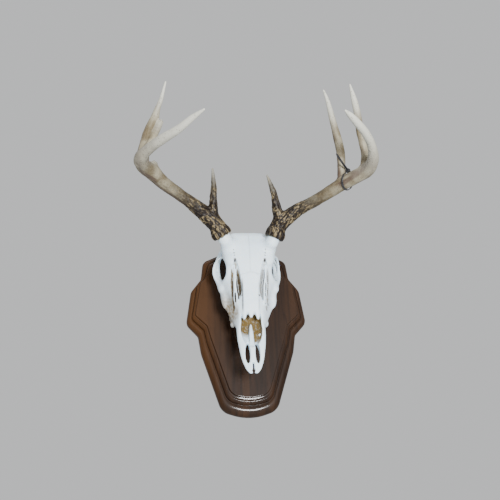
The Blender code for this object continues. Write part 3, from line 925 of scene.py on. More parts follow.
@dataclass
class Plaque:
    """The walnut board with its moulded edge."""

    thickness: float = 24.0
    outline: tuple[Row, ...] = (
        (0, 66, 90), (76, 32, 14), (80, -2, 14), (98, -26, 16), (106, -84, 15),
        (85.5, -106, 12), (80.5, -136, 60), (47, -234, 26), (0, -249, 90),
    )
    panel: tuple[Row, ...] = (
        (0, 48, 80), (60, 20, 8), (67, 0, 10), (80, -14, 6), (89.5, -72, 4),
        (69, -91, 10), (63, -112, 40), (31, -208, 22), (0, -216, 70),
    )
    # Spans of the moulding between its sharp edges: share of the way inwards, share of the thickness.
    spans: tuple[tuple[Row, ...], ...] = (
        ((0.0, 0.0), (0.0, 0.10), (0.0, 0.20)),
        ((0.0, 0.20), (0.015, 0.30), (0.07, 0.41), (0.17, 0.51), (0.31, 0.568), (0.44, 0.582), (0.53, 0.565)),
        ((0.53, 0.565), (0.54, 0.49)),
        ((0.54, 0.49), (0.60, 0.485)),
        ((0.60, 0.485), (0.605, 0.60), (0.64, 0.69), (0.71, 0.755), (0.80, 0.785)),
        ((0.80, 0.785), (0.88, 0.772), (0.962, 0.785)),
        ((0.962, 0.785), (0.966, 0.955)),
        ((0.966, 0.955), (0.975, 0.985), (1.0, 1.0)),
        ((1.0, 1.0), (1.02, 1.0)),
        ((1.02, 1.0), (1.10, 1.0)),
    )
    fillet_steps: int = 9
    straight_steps: int = 6
    span_steps: int = 3
    sharp_degrees: float = 24.0
    keyhole_z: float = 26.0
    keyhole_travel: float = 14.0
    keyhole_radius: float = 5.0
    slot_width: float = 4.6
    lip: float = 3.0
    keyhole_depth: float = 9.0
    overcut: float = 1.0
    cutter_sides: int = 40
    cutter_sharp_degrees: float = 30.0

    def rounded(self, corners: tuple[Row, ...]) -> np.ndarray:
        """The closed outline with its corners filleted, as points in the plane of the board.

        Args:
            corners: Rows of across, up and fillet radius, down the right half.

        Returns:
            The points, once round.
        """
        half = [Vector((x, z)) for x, z, _ in corners]
        points: list[Vector] = []
        for index, (x, _, radius) in enumerate(corners):
            corner = half[index]
            before = half[index - 1] if index > 0 else Vector((-half[1].x, half[1].y))
            after = half[index + 1] if index + 1 < len(half) else Vector((-half[-2].x, half[-2].y))
            arc = self.fillet(before, corner, after, radius)
            middle = len(arc) // 2
            if index == 0:
                arc = arc[middle:]
            elif index == len(corners) - 1:
                arc = arc[:middle + 1]
            if points:
                start, end = points[-1], arc[0]
                points += [start.lerp(end, step / self.straight_steps) for step in range(1, self.straight_steps)]
            points += arc
        points += [Vector((-point.x, point.y)) for point in points[-2:0:-1]]
        return np.array(points)

    def fillet(self, before: Vector, corner: Vector, after: Vector, radius: float) -> list[Vector]:
        """The arc that rounds one corner.

        Args:
            before: The corner before it.
            corner: The corner.
            after: The corner after it.
            radius: The arc's radius.

        Returns:
            Points along the arc.
        """
        back, ahead = (before - corner).normalized(), (after - corner).normalized()
        half_angle = back.angle(ahead) / 2
        centre = corner + (back + ahead).normalized() * (radius / math.sin(half_angle))
        start = corner + back * (radius / math.tan(half_angle)) - centre
        side = 1 if ahead.cross(back) > 0 else -1
        sweep = side * (math.pi - 2 * half_angle)
        steps = 2 * self.fillet_steps
        return [centre + Matrix.Rotation(sweep * step / steps, 2) @ start for step in range(steps + 1)]

    def profile(self) -> list[tuple[float, float]]:
        """The moulding from the back edge to the panel, smooth between its sharp edges.

        Returns:
            Pairs of share inwards and share of the thickness.
        """
        line: list[tuple[float, float]] = []
        for span in self.spans:
            steps = 1 if len(span) == 2 else self.span_steps
            samples = [tuple(row) for row in smooth_route(span, steps)]
            line += samples if not line else samples[1:]
        return line

    def keyhole_cutter(self, radius: float, front: float, back: float, travel: float) -> bpy.types.Object:
        """A rod across the board, stretched upwards by the travel of the screw.

        Args:
            radius: The rod's radius.
            front: Depth where it starts, measured from the back.
            back: Depth where it ends.
            travel: How far up it is stretched.

        Returns:
            The cutter.
        """
        shape = bmesh.new()
        bmesh.ops.create_cone(shape, cap_ends=True, segments=self.cutter_sides, radius1=radius * MM,
                              radius2=radius * MM, depth=(back - front) * MM)
        for vert in shape.verts:
            if vert.co.y > MICRON:
                vert.co.y += travel * MM
        place = Matrix.Translation(Vector((0, -(front + back) / 2, self.keyhole_z)) * MM)
        bmesh.ops.transform(shape, matrix=place @ Matrix.Rotation(math.radians(90), 4, "X"), verts=shape.verts)
        return bmesh_object("keyhole_cutter", shape, self.cutter_sharp_degrees)

    def build(self) -> bpy.types.Object:
        """Loft the board, rout its keyhole and varnish it.

        Returns:
            The board.
        """
        rim, panel = self.rounded(self.outline), self.rounded(self.panel)
        shape = bmesh.new()
        rows = []
        for share, height in self.profile():
            ring = rim + (panel - rim) * share
            depth = -height * self.thickness
            rows.append([shape.verts.new(Vector((x, depth, z)) * MM) for x, z in ring])
        for lower, upper in zip(rows, rows[1:]):
            for i, vert in enumerate(lower):
                j = (i + 1) % len(lower)
                shape.faces.new((vert, lower[j], upper[j], upper[i]))
        shape.faces.new(rows[0])
        shape.faces.new(rows[-1])
        board = bmesh_object("walnut_board", shape, self.sharp_degrees)
        cutters = (
            self.keyhole_cutter(self.keyhole_radius, -2 * self.overcut, self.keyhole_depth, 0.0),
            self.keyhole_cutter(self.keyhole_radius, self.lip, self.keyhole_depth, self.keyhole_travel),
            self.keyhole_cutter(self.slot_width / 2, -self.overcut, self.lip + self.overcut, self.keyhole_travel),
        )
        apply_cuts(board, cutters)
        return dress(board, WalnutFinish(Slot.WALNUT, 0.5), "plaque")


def apply_cuts(target: bpy.types.Object, cutters: tuple[bpy.types.Object, ...]) -> None:
    """Cut the cutters out of the target's own mesh and remove them.

    Args:
        target: The piece that is cut.
        cutters: The pieces that are cut out of it.
    """
    for cutter in cutters:
        modifier = target.modifiers.new("cut", "BOOLEAN")
        modifier.operation = "DIFFERENCE"
        modifier.object = cutter
    depsgraph = bpy.context.evaluated_depsgraph_get()
    cut_mesh = bpy.data.meshes.new_from_object(target.evaluated_get(depsgraph))
    target.modifiers.clear()
    target.data = cut_mesh
    for cutter in cutters:
        bpy.data.objects.remove(cutter)


@dataclass
class Branch:
    """A beam or a tine: its route, and whether its end is broken off."""

    rows: tuple[Row, ...]
    broken: bool = False
    steps: int = 8

    def route(self) -> np.ndarray:
        """Close samples of place and radius."""
        return smooth_route(self.rows, self.steps)


@dataclass
class Antler:
    """One antler, with its burr, beam and tines."""

    name: str
    node: str
    beam: Branch
    tines: tuple[Branch, ...]
    seed: int
    step: float = 1.0
    fork_blend: float = 5.0
    fork_reach: float = 9.0
    room: float = 6.0
    relax_rounds: int = 3
    # Burr: distance from the underside, added radius.
    burr: tuple[Row, ...] = ((0.6, 0.2), (2.0, 3.0), (5, 3.9), (8.5, 2.8), (12, 1.0), (18, 0.0))
    # The underside is cut square to the way to this sample, within this reach.
    cap_sample: int = 6
    cap_reach: float = 30.0
    # Jagged breaks: samples back that set the direction, size and depth of the teeth.
    break_samples: int = 4
    break_grain: float = 3.2
    break_depth: float = 4.5
    # Pearls and grooves are strongest up to the first distance and gone at the second.
    pearl_start: float = 30.0
    pearl_reach: float = 180.0
    pearl_height: float = 1.3
    groove_depth: float = 1.0
    least_strength: float = 0.35
    # Cells a millimetre round the branch and along it, for the ridges and the streaks.
    ridge_pitch: Row = (0.30, 0.035)
    streak_pitch: Row = (0.16, 0.012)
    ridge_contrast: float = 2.2
    ridge_level: float = 0.35
    # Millimetres to a bead round the branch and along it, how tightly they sit, and the size of their clusters.
    bead_pitch: Row = (2.7, 9.0)
    bead_packing: float = 1.7
    bead_cluster: float = 10.0
    bead_cluster_edges: Row = (-0.3, 0.3)
    burr_fade: Row = (8.0, 16.0)
    burr_beads: float = 0.7
    # Size and height of the broad ripple and of the fine grain.
    ripple: Row = (9.0, 0.5)
    grain: Row = (2.4, 0.16)
    # Share of the branch over which it turns smooth, and distance over which the underside stays flat.
    smooth_end: Row = (0.62, 0.95)
    flat_start: Row = (0.2, 1.2)
    # Whitening: share of the branch, distance from the burr, strength, what a broken end loses.
    tip_share: Row = (0.45, 0.95)
    tip_distance: Row = (60.0, 140.0)
    tip_strength: float = 0.9
    tip_loss: float = 0.5
    base_strength: float = 1.1
    pearl_edges: Row = (0.05, 0.5)
    pearl_strength: float = 0.8
    groove_edges: Row = (-0.15, 0.9)
    least_groove: float = 0.25
    streak_edges: Row = (-0.1, 0.3)
    streak_end: Row = (170.0, 290.0)
    streak_strength: float = 0.75

    @property
    def branches(self) -> tuple[Branch, ...]:
        """The beam and its tines."""
        return self.beam, *self.tines

    def routes(self) -> list[np.ndarray]:
        """The samples of the beam, with its burr, and of each tine."""
        return [self.beam_route(), *(tine.route() for tine in self.tines)]

    def beam_route(self) -> np.ndarray:
        """The beam's samples, with the burr's swelling at the start.

        Returns:
            Rows of place and radius.
        """
        route = self.beam.route()
        away = np.linalg.norm(route[:, :3] - route[0, :3], axis=1)
        route[:, 3] += read_table(self.burr, away)
        return route

    def volume(self) -> Volume:
        """The antler's smooth form.

        Returns:
            The volume that holds it.
        """
        routes = self.routes()
        every = np.concatenate(routes)
        reach = every[:, 3].max() + self.room
        volume = Volume(every[:, :3].min(0) - reach, every[:, :3].max(0) + reach, self.step)
        for route, branch in zip(routes, self.branches):
            cut, distance = volume.rod_field(route, self.fork_reach)
            if branch.broken:
                distance = self.snapped(volume, cut, distance, route)
            volume.change(cut, distance, Joining.ADD, self.fork_blend)
        start = routes[0][0, :3]
        ahead = routes[0][self.cap_sample, :3] - start
        ahead /= np.linalg.norm(ahead)
        cut, (x, y, z) = volume.window(start - self.cap_reach, start + self.cap_reach)
        below = -((x - start[0]) * ahead[0] + (y - start[1]) * ahead[1] + (z - start[2]) * ahead[2])
        volume.values[cut] = np.maximum(volume.values[cut], below)
        return volume

    def snapped(self, volume: Volume, cut: tuple[slice, ...], distance: np.ndarray, route: np.ndarray) -> np.ndarray:
        """Break a branch off roughly at its end.

        Args:
            volume: The antler's samples.
            cut: The slices of the samples that it touches.
            distance: Distances to the whole branch there.
            route: The branch's rows of place and radius.

        Returns:
            Distances to the broken branch.
        """
        end = route[-1, :3]
        ahead = end - route[-self.break_samples, :3]
        ahead = ahead / np.linalg.norm(ahead)
        x, y, z = np.meshgrid(*(axis[part] for axis, part in zip(volume.axes(), cut)), indexing="ij")
        places = np.stack([x, y, z], axis=-1)
        teeth = layered_noise(places / self.break_grain, self.seed + 40) * self.break_depth
        return np.maximum(distance, (places - end) @ ahead + teeth)

    def nearest(self, points: np.ndarray) -> dict[str, np.ndarray]:
        """Where each skin point belongs.

        Args:
            points: The skin's points.

        Returns:
            Distance from the burr along the antler, share along its branch, place round the branch, and whether
            the branch is broken.
        """
        routes = self.routes()
        beam = routes[0]
        best = np.full(len(points), HUGE)
        reach, share = np.zeros(len(points)), np.zeros(len(points))
        around = np.zeros((len(points), 3))
        broken = np.zeros(len(points))
        start, beam_lengths = 0.0, None
        for route, branch in zip(routes, self.branches):
            lengths = np.concatenate([[0.0], np.cumsum(np.linalg.norm(np.diff(route[:, :3], axis=0), axis=1))])
            if beam_lengths is None:
                beam_lengths = lengths
            else:
                start = beam_lengths[np.argmin(np.linalg.norm(beam[:, :3] - route[0, :3], axis=1))]
            tangents = np.gradient(route[:, :3], axis=0)
            tangents /= np.linalg.norm(tangents, axis=1, keepdims=True)
            for i in range(len(route)):
                offset = points - route[i, :3]
                gap = np.linalg.norm(offset, axis=1) - route[i, 3]
                closer = gap < best
                best[closer] = gap[closer]
                reach[closer] = start + lengths[i]
                share[closer] = lengths[i] / lengths[-1]
                around[closer] = offset[closer] - np.outer(offset[closer] @ tangents[i], tangents[i])
                broken[closer] = float(branch.broken)
        return {"reach": reach, "share": share, "around": around, "broken": broken}

    def build(self, finish: AntlerFinish) -> bpy.types.Object:
        """Make the skin, raise its ridges and pearls and colour it.

        Args:
            finish: What the antler is dressed in.

        Returns:
            The antler.
        """
        points, quads = self.volume().surface()
        points = relaxed(points, quads, self.relax_rounds)
        normals = point_normals(points, quads)
        height, masks = self.relief(points)
        points = points + normals * height[:, None]
        thing = mesh_object(self.name, points, quads, masks)
        return dress(thing, finish, self.node)

    def relief(self, points: np.ndarray) -> tuple[np.ndarray, dict[str, np.ndarray]]:
        """The ridges, beads and grain on the skin, and where its colours lie.

        Args:
            points: The skin's points.

        Returns:
            The height to add at each point, and the masks that the material reads.
        """
        where = self.nearest(points)
        around, reach, share, broken = (where[name] for name in ("around", "reach", "share", "broken"))
        closeness = smooth_fall(reach, self.pearl_start, self.pearl_reach)
        strength = at_least(closeness, self.least_strength)
        smooth_tip = 1.0 - smooth_step(share, *self.smooth_end) * (1.0 - broken)
        flow = around * self.ridge_pitch[0] + (reach * self.ridge_pitch[1])[:, None]
        ridges = 1.0 - self.ridge_contrast * np.abs(layered_noise(flow, self.seed, 2))
        cells = cell_distance(around / self.bead_pitch[0] + (reach / self.bead_pitch[1])[:, None], self.seed + 9)
        beads = np.clip(1.0 - cells * self.bead_packing, 0.0, 1.0)
        clusters = value_noise(points / self.bead_cluster, self.seed + 11)
        beads *= at_least(smooth_step(clusters, *self.bead_cluster_edges), self.least_strength)
        drift = around * self.streak_pitch[0] + (reach * self.streak_pitch[1])[:, None]
        streaks = smooth_step(layered_noise(drift, self.seed + 17, 2), *self.streak_edges)
        ripple = layered_noise(points / self.ripple[0], self.seed + 5) * self.ripple[1]
        grain = layered_noise(points / self.grain[0], self.seed + 13, 2) * self.grain[1]
        height = (ridges - self.ridge_level) * self.groove_depth * strength * smooth_tip
        height += ripple * smooth_tip + grain * strength
        height += beads * self.pearl_height * (closeness**1.5 + smooth_fall(reach, *self.burr_fade) * self.burr_beads)
        tips = smooth_step(share, *self.tip_share) * smooth_step(reach, *self.tip_distance)
        grooves = smooth_step(-ridges, *self.groove_edges) * at_least(closeness, self.least_groove)
        masks = {
            "tip": tips * (self.tip_strength - self.tip_loss * broken),
            "base": np.clip(closeness * self.base_strength, 0, 1),
            "pearl": smooth_step(beads, *self.pearl_edges) * closeness * self.pearl_strength,
            "groove": grooves * smooth_tip,
            "streak": streaks * smooth_fall(reach, *self.streak_end) * smooth_tip * self.streak_strength,
        }
        return height * smooth_step(reach, *self.flat_start), masks


@dataclass(frozen=True)
class Seam:
    """A fine line on the face: its place, its width, how much it wanders and how dark it is."""

    middle: float
    width: float
    wander: float
    strength: float


@dataclass
class Skull:
    """The bleached skull, drawn in its own axes: across, along (occiput to nose) and rise (palate to brow)."""

    step: float = 1.25
    box: tuple[Row, Row] = ((-72, -12, -4), (72, 284, 120))
    relax_rounds: int = 2
    route_steps: int = 4
    lean: float = math.radians(21.0)
    shift_x: float = -3.2
    occiput_z: float = 62.5
    seat_y: float = -24.3
    # Along, top, crown half width, half width, height of the widest part, foot half width, bottom.
    stations: tuple[Row, ...] = (
        (-6, 34, 8, 28, 24, 12, 6), (10, 50, 9, 34, 32, 14, 6), (28, 66, 12, 37, 44, 15, 7),
        (44, 83, 18, 38.5, 58, 15, 10), (56, 95, 27, 40, 72, 16, 13), (68, 99, 29, 41.5, 80, 17, 15),
        (82, 99, 28, 41.5, 79, 19, 17), (98, 95, 26, 43, 72, 25, 18), (114, 88, 24, 44, 60, 31, 17),
        (130, 79.5, 20, 43, 46, 34, 16), (148, 69.5, 15.5, 41, 34, 34.5, 15), (168, 58, 14, 36, 29, 30.5, 14.5),
        (184, 49, 13.5, 29.5, 25, 25, 14), (193, 43, 13.5, 25.5, 25, 20, 12), (198, 37.5, 17.5, 23.5, 25, 18, 12),
        (213, 32, 18.5, 23.2, 24, 15.5, 12), (235, 26.5, 16.5, 21, 20, 13, 13), (255, 21.5, 13, 17.5, 16.5, 9, 12),
        (270, 18, 8.5, 12.5, 15, 7, 11), (278, 16, 4.5, 7, 14, 4, 12),
    )
    # The section's corners between those sizes, as shares of the way or in millimetres.
    shoulder: Row = (0.62, 0.42)
    jowl: Row = (0.55, 0.25)
    crown_flat: float = 0.6
    crown_drops: Row = (0.3, 1.4)
    palate_arch: float = 1.5
    orbit: Row = (43.8, 108.0, 59.0)
    orbit_radius: float = 20.5
    orbit_rim: float = 3.9
    orbit_wall: float = 1.4
    orbit_steps: int = 36
    # Unevenness of the rim: of its radius, of its height and of its thickness.
    orbit_waver: Row = (0.02, 0.6, 0.12)
    socket_back: float = 2.2
    orbit_upward: float = math.radians(24.0)
    orbit_forward: float = math.radians(19.0)
    # The socket inside its rim: height above the rim's plane and what the radius gains on the rim's own.
    socket: tuple[Row, ...] = ((14, 0.5), (3, 0), (-4, -0.3), (-12, -1), (-22, -4), (-31, -10))
    # The tongue of bone at its front edge, in the socket's own axes: place and radius.
    tongue: tuple[Row, Row] = ((0, 19, -7, 3.0), (0, 12.5, -7, 1.7))
    cheek_arch: tuple[Row, ...] = (
        (45, 134, 42, 5.5), (48, 116, 37, 5), (50, 94, 36, 4.5), (49, 72, 38, 4.5), (42, 50, 38, 5), (32, 36, 36, 6),
    )
    # Lumps on both sides: whether bone is added or cut, centre, radii and blend.
    lumps: tuple[tuple[Joining, Row, Row, float], ...] = (
        (Joining.ADD, (30, 102, 85), (10, 15, 6), 8.0),
        (Joining.ADD, (41, 142, 34), (5, 24, 8), 7.0),
        (Joining.ADD, (20, 44, 14), (9, 13, 9), 4.0),
        (Joining.CUT, (48, 62, 60), (12, 22, 18), 4.0),
        (Joining.CUT, (38, 176, 44), (8, 22, 9), 7.0),
        (Joining.CUT, (24, 178, 57), (7, 15, 7), 5.0),
        (Joining.CUT, (7.8, 247, 18), (3.9, 16, 30), 1.0),
        (Joining.CUT, (6.8, 235, 18), (2.0, 9, 30), 1.0),
    )
    # The gap in the face before the eye: across, along, rise, radius.
    pit: tuple[Row, ...] = (
        (24, 113, 87.5, 2.5), (24, 126, 79.5, 6), (23.5, 142, 68, 8.6), (23, 156, 58, 8.2), (28, 169, 48, 4.4),
        (31, 183, 37, 2.4),
    )
    # Thin scrolls of bone in that gap: across at its top and at its bottom, depth, radius.
    scrolls: tuple[Row, ...] = (
        (25.5, 21.5, 1.5, 1.7), (22.5, 17.0, 3.5, 1.0), (27.5, 25.5, 3.0, 1.2), (29.5, 29.5, 5.0, 0.9),
    )
    scroll_places: Row = (118, 132, 146, 160, 172)
    # Their waver: its size, and its turn from place to place and from scroll to scroll.
    scroll_waver: Row = (0.8, 2.4, 7.0)
    # The face beside the nasal bones: along and rise.
    brow: tuple[Row, ...] = ((112, 88.0), (148, 63.5), (184, 42.0))
    nose_hollow: tuple[Row, Row] = ((0, 204, 29.5), (17, 36, 12.5))
    nasal_box: tuple[Row, Row] = ((-20, 176, 26), (20, 216, 52))
    nasal_slope: float = 0.6
    nasal_floor: float = 30.0
    nasal_edge: float = 191.5
    nasal_points: float = 6.0
    nasal_pitch: float = 10.8
    palate_hollow: tuple[Row, Row] = ((0, 150, 8), (17, 62, 9))
    throat: tuple[Row, Row] = ((0, 92, 14), (10, 18, 13))
    vomer: tuple[Row, ...] = ((0.5, 194, 26, 0.9), (1.5, 208, 24, 1.7), (2.2, 235, 21, 1.9), (2.4, 262, 17, 2.1))
    chip: tuple[Row, Row] = ((13.0, 213, 22.4), (1.7, 2.3, 1.8))
    notch_start: float = 261.0
    notch_width: float = 2.2
    notch_hole: tuple[float, float] = (274.0, 2.6)
    notch_box: tuple[Row, Row] = ((-10, 255, -4), (10, 284, 40))
    teeth: int = 6
    tooth_row: tuple[Row, Row] = ((33.0, 112.0), (26.5, 188.0))
    tooth_crown: float = 5.0
    tooth_width: float = 6.2
    tooth_height: float = 8.0
    tooth_taper: float = 0.3
    # Shares of the pitch from tooth to tooth: how far off its middle a cusp lies, and its half length.
    cusps: Row = (-0.24, 0.24)
    cusp_length: float = 0.29
    cusp_blend: float = 1.0
    pedicle_root: Row = (31.0, 80.0, 84.0)
    pedicle_radii: tuple[float, float] = (13.5, 10.8)
    collar: float = 8.0
    burr_gap: float = 0.3
    # Roundings where forms meet, from sharp to soft.
    notch_edge: float = 0.4
    sharp_edge: float = 0.5
    thin_edge: float = 0.8
    edge: float = 1.2
    tongue_blend: float = 1.5
    socket_edge: float = 2.0
    hollow_edge: float = 3.0
    arch_blend: float = 4.0
    pedicle_blend: float = 9.0
    # The seams' waver: millimetres to a cell, and its size.
    waver: Row = (5.0, 2.2)
    middle_seam: Seam = Seam(0.0, 0.6, 0.4, 0.28)
    middle_seam_reach: Row = (60, 128)
    brow_seam: Seam = Seam(129, 0.8, 1.0, 0.22)
    brow_seam_slant: float = 0.25
    brow_seam_half: float = 26
    # The groove beside the nasal bones: a seam, darker on the left as painted shade.
    nasal_groove: Seam = Seam(13.4, 1.2, -0.2, 1.0)
    nasal_groove_start: Row = (132, 150)
    nasal_groove_end: Row = (176, 190)
    # The face as seen from above: along, and the rise where it starts.
    face: tuple[Row, ...] = ((60, 80), (128, 62), (193, 34))
    # Small holes on both sides, painted dark as the shade inside them: across, along, radius.
    holes: tuple[Row, ...] = (
        (24.5, 111.0, 1.7), (25.2, 104.5, 0.9), (25.8, 100.0, 1.0), (26.2, 95.0, 0.8), (14.0, 162.0, 1.3),
        (19.0, 211.0, 1.1),
    )
    hole_edges: Row = (0.6, 1.6)
    # Strengths on the left and on the right; these tints are partly painted shade, so they are stronger on the shaded
    # left.
    pit_stain_and_shade: Row = (0.95, 0.6)
    pit_shade: Row = (0.8, 0.15)
    tooth_stain_and_shade: Row = (0.8, 0.2)
    groove_shade: Row = (1.0, 0.3)
    # Depths in a hollow, from 0 to 1, where its tan and its dark painted shade start and are full, and the socket's
    # strengths; the tan is painted shade in the socket and partly so in the pit.
    pit_stain_and_shade_depth: Row = (0.0, 0.35)
    pit_shade_depth: Row = (0.45, 1.0)
    socket_tan_shade_depth: Row = (0.02, 0.30)
    socket_shade_depth: Row = (0.06, 0.42)
    socket_tan_shade: float = 0.95
    socket_shade: float = 0.97
    # Where the tan over the teeth, their stain with painted shade of the underside, starts and is full across and
    # along, and where it ends along and up.
    tooth_stain_and_shade_edges: tuple[Row, ...] = ((17, 22), (118, 165), (182, 202), (36, 62))
    # Relief of the skin: size and height of the swells and the grain, and how far dark marks sink.
    swells: Row = (11.0, 0.35)
    grain: Row = (3.0, 0.08)
    sink: Row = (0.8, 0.6)
    burr_ends: dict[int, tuple[Row, Row]] = field(default_factory=dict)

    def to_part(self) -> Matrix:
        """From the skull's own axes to the part's, in millimetres.

        Returns:
            The matrix.
        """
        along = Vector((0, -math.sin(self.lean), -math.cos(self.lean)))
        rise = Vector((0, -math.cos(self.lean), math.sin(self.lean)))
        axes = Matrix((Vector((1, 0, 0)), along, rise)).transposed().to_4x4()
        return Matrix.Translation((self.shift_x, 0, self.occiput_z)) @ axes

    def body(self, volume: Volume) -> None:
        """Fill the volume with the lofted body of the skull.

        Args:
            volume: The samples that it changes.
        """
        x, u, h = volume.axes()
        stations = np.array(self.stations, dtype=float)
        sizes = np.stack([self.eased(u, stations[:, 0], column) for column in stations[:, 1:].T], axis=1)
        across, rise = np.meshgrid(np.abs(x), h, indexing="ij")
        for index, (along, size) in enumerate(zip(u, sizes)):
            if stations[0, 0] <= along <= stations[-1, 0]:
                volume.values[:, index, :] = self.section_distance(across, rise, size)

    @staticmethod
    def eased(where: np.ndarray, knots: np.ndarray, values: np.ndarray) -> np.ndarray:
        """Values between the knots on a curve that doesn't overshoot.

        Args:
            where: Places along the knots.
            knots: Rising places of the given values.
            values: The value at each knot.

        Returns:
            The value at each place.
        """
        slopes = np.diff(values) / np.diff(knots)
        tangents = np.zeros_like(values)
        same = slopes[1:] * slopes[:-1] > 0
        harmonic = 2 * slopes[1:] * slopes[:-1] / np.where(same, slopes[1:] + slopes[:-1], 1.0)
        tangents[1:-1] = np.where(same, harmonic, 0.0)
        tangents[0], tangents[-1] = slopes[0], slopes[-1]
        index = np.clip(np.searchsorted(knots, where) - 1, 0, len(knots) - 2)
        width = knots[index + 1] - knots[index]
        t = np.clip((where - knots[index]) / width, 0.0, 1.0)
        first = (2 * t**3 - 3 * t**2 + 1) * values[index] + (t**3 - 2 * t**2 + t) * width * tangents[index]
        second = (3 * t**2 - 2 * t**3) * values[index + 1] + (t**3 - t**2) * width * tangents[index + 1]
        return first + second

    def section_distance(self, across: np.ndarray, rise: np.ndarray, size: np.ndarray) -> np.ndarray:
        """How far each place in one slice lies outside the skull's section.

        Args:
            across: Distances from the middle plane.
            rise: Heights over the palate.
            size: Top, crown half width, half width, height of the widest part, foot half width, bottom.

        Returns:
            Distances, negative inside.
        """
        top, crown, width, widest, foot, bottom = size
        (out, down), (jowl_out, jowl_up), drops = self.shoulder, self.jowl, self.crown_drops
        shoulder = (crown + out * (width - crown), top - down * (top - widest))
        jowl = (foot + jowl_out * (width - foot), bottom + jowl_up * (widest - bottom))
        corners = ((0, top), (crown * self.crown_flat, top - drops[0]), (crown, top - drops[1]), shoulder,
                   (width, widest), jowl, (foot, bottom), (0, bottom + self.palate_arch))
        line = smooth_route(corners, self.route_steps)
        distance = np.full(across.shape, HUGE)
        crossings = np.zeros(across.shape, dtype=int)
        for (x0, h0), (x1, h1) in zip(line[:-1], line[1:]):
            dx, dh = x1 - x0, h1 - h0
            share = np.clip(((across - x0) * dx + (rise - h0) * dh) / max(dx * dx + dh * dh, TINY), 0.0, 1.0)
            distance = np.minimum(distance, (across - x0 - share * dx) ** 2 + (rise - h0 - share * dh) ** 2)
            spans = (h0 > rise) != (h1 > rise)
            if dh != 0:
                crossings += spans & (across < x0 + (rise - h0) * dx / dh)
        distance = np.sqrt(distance)
        return np.where(crossings % 2 == 1, -distance, distance)

    def orbit_matrix(self, side: int) -> Matrix:
        """The eye socket's frame, whose own Z runs out of the socket.

        Args:
            side: -1 for the left side and 1 for the right.

        Returns:
            The matrix.
        """
        out, along, rise = self.orbit
        place = Matrix.Translation((side * out, along, rise)) @ Matrix.Rotation(side * self.orbit_forward, 4, "Z")
        return place @ Matrix.Rotation(side * (math.radians(90) - self.orbit_upward), 4, "Y")

    def orbit_points(self, side: int) -> np.ndarray:
        """The closed route of one eye socket's rim, a little uneven as bone is.

        Args:
            side: -1 for the left side and 1 for the right.

        Returns:
            Rows of place and radius.
        """
        matrix = self.orbit_matrix(side)
        radius, height, thickness = self.orbit_waver
        rows = []
        for step in range(self.orbit_steps + 1):
            angle = 2 * math.pi * step / self.orbit_steps
            reach = self.orbit_radius * (1.0 + radius * math.sin(3 * angle + 1.0))
            place = Vector((reach * math.cos(angle), reach * math.sin(angle), height * math.sin(2 * angle)))
            rows.append((*(matrix @ place), self.orbit_rim * (1.0 + thickness * math.sin(2 * angle + 0.5))))
        return np.array(rows)

    def volume(self) -> Volume:
        """The whole form of the skull, without its finest marks.

        Returns:
            The volume that holds it.
        """
        volume = Volume(*self.box, self.step)
        self.body(volume)
        inverse = self.to_part().inverted()
        for side in SIDES:
            volume.rod(self.orbit_points(side), Joining.ADD, self.arch_blend)
            volume.rod(self.mirrored(self.cheek_arch, side), Joining.ADD, self.arch_blend)
            for joining, centre, radii, blend in self.lumps:
                volume.ball((side * centre[0], *centre[1:]), radii, joining, blend)
            self.hollow_orbit(volume, side)
            volume.rod(self.pedicle(side, inverse), Joining.ADD, self.pedicle_blend)
            volume.rod(self.mirrored(self.pit, side), Joining.CUT, self.edge)
            self.fill_pit(volume, side)
            for index in range(self.teeth):
                self.tooth(volume, side, index)
        volume.ball(*self.palate_hollow, Joining.CUT, self.hollow_edge)
        volume.ball(*self.throat, Joining.CUT, self.hollow_edge)
        self.nose(volume)
        self.trim(volume)
        return volume

    def mirrored(self, rows: tuple[Row, ...], side: int) -> np.ndarray:
        """A smooth route through rows that are given for the right side."""
        return smooth_route(tuple((side * x, u, h, r) for x, u, h, r in rows), self.route_steps)

    def hollow_orbit(self, volume: Volume, side: int) -> None:
        """Hollow one eye socket inside its rim, and leave the small tongue of bone at its front edge.

        Args:
            volume: The samples that it changes.
            side: -1 for the left side and 1 for the right.
        """
        matrix = self.orbit_matrix(side)
        inner = self.orbit_radius - self.orbit_wall
        rows = [(*(matrix @ Vector((0, -self.socket_back, depth))), inner + gain) for depth, gain in self.socket]
        volume.rod(np.array(rows), Joining.CUT, self.socket_edge)
        tongue = [(*(matrix @ Vector(place)), radius) for *place, radius in self.tongue]
        volume.rod(np.array(tongue), Joining.ADD, self.tongue_blend)

    def pedicle(self, side: int, inverse: Matrix) -> np.ndarray:
        """The stalk of bone up to the burr on one side.

        Args:
            side: -1 for the left side and 1 for the right.
            inverse: From the part's axes to the skull's own.

        Returns:
            Rows of place and radius.
        """
        end, ahead = (Vector(values) for values in self.burr_ends[side])
        ahead.normalize()
        root = inverse @ (end - ahead * self.burr_gap)
        collar = root - (inverse.to_3x3() @ ahead).normalized() * self.collar
        start = Vector((side * self.pedicle_root[0], *self.pedicle_root[1:]))
        wide, narrow = self.pedicle_radii
        return np.array([(*start, wide), (*start.lerp(collar, 0.5), (wide + narrow) / 2),
                         (*collar, narrow), (*root, narrow)])

    def brow_height(self, along: np.ndarray) -> np.ndarray:
        """The height of the face beside the nasal bones, where the gaps before the eyes lie."""
        return read_table(self.brow, along)

    def fill_pit(self, volume: Volume, side: int) -> None:
        """Thin scrolls of bone across the gap in front of one eye.

        Args:
            volume: The samples that it changes.
            side: -1 for the left side and 1 for the right.
        """
        size, turn, shift = self.scroll_waver
        for upper, lower, depth, radius in self.scrolls:
            rows = []
            for step, along in enumerate(self.scroll_places):
                share = step / (len(self.scroll_places) - 1)
                across = upper + (lower - upper) * share + size * math.sin(turn * step + shift * depth + side)
                rows.append((side * across, along, float(self.brow_height(along)) - depth, radius))
            volume.rod(smooth_route(tuple(rows), self.route_steps - 1), Joining.ADD, self.thin_edge)

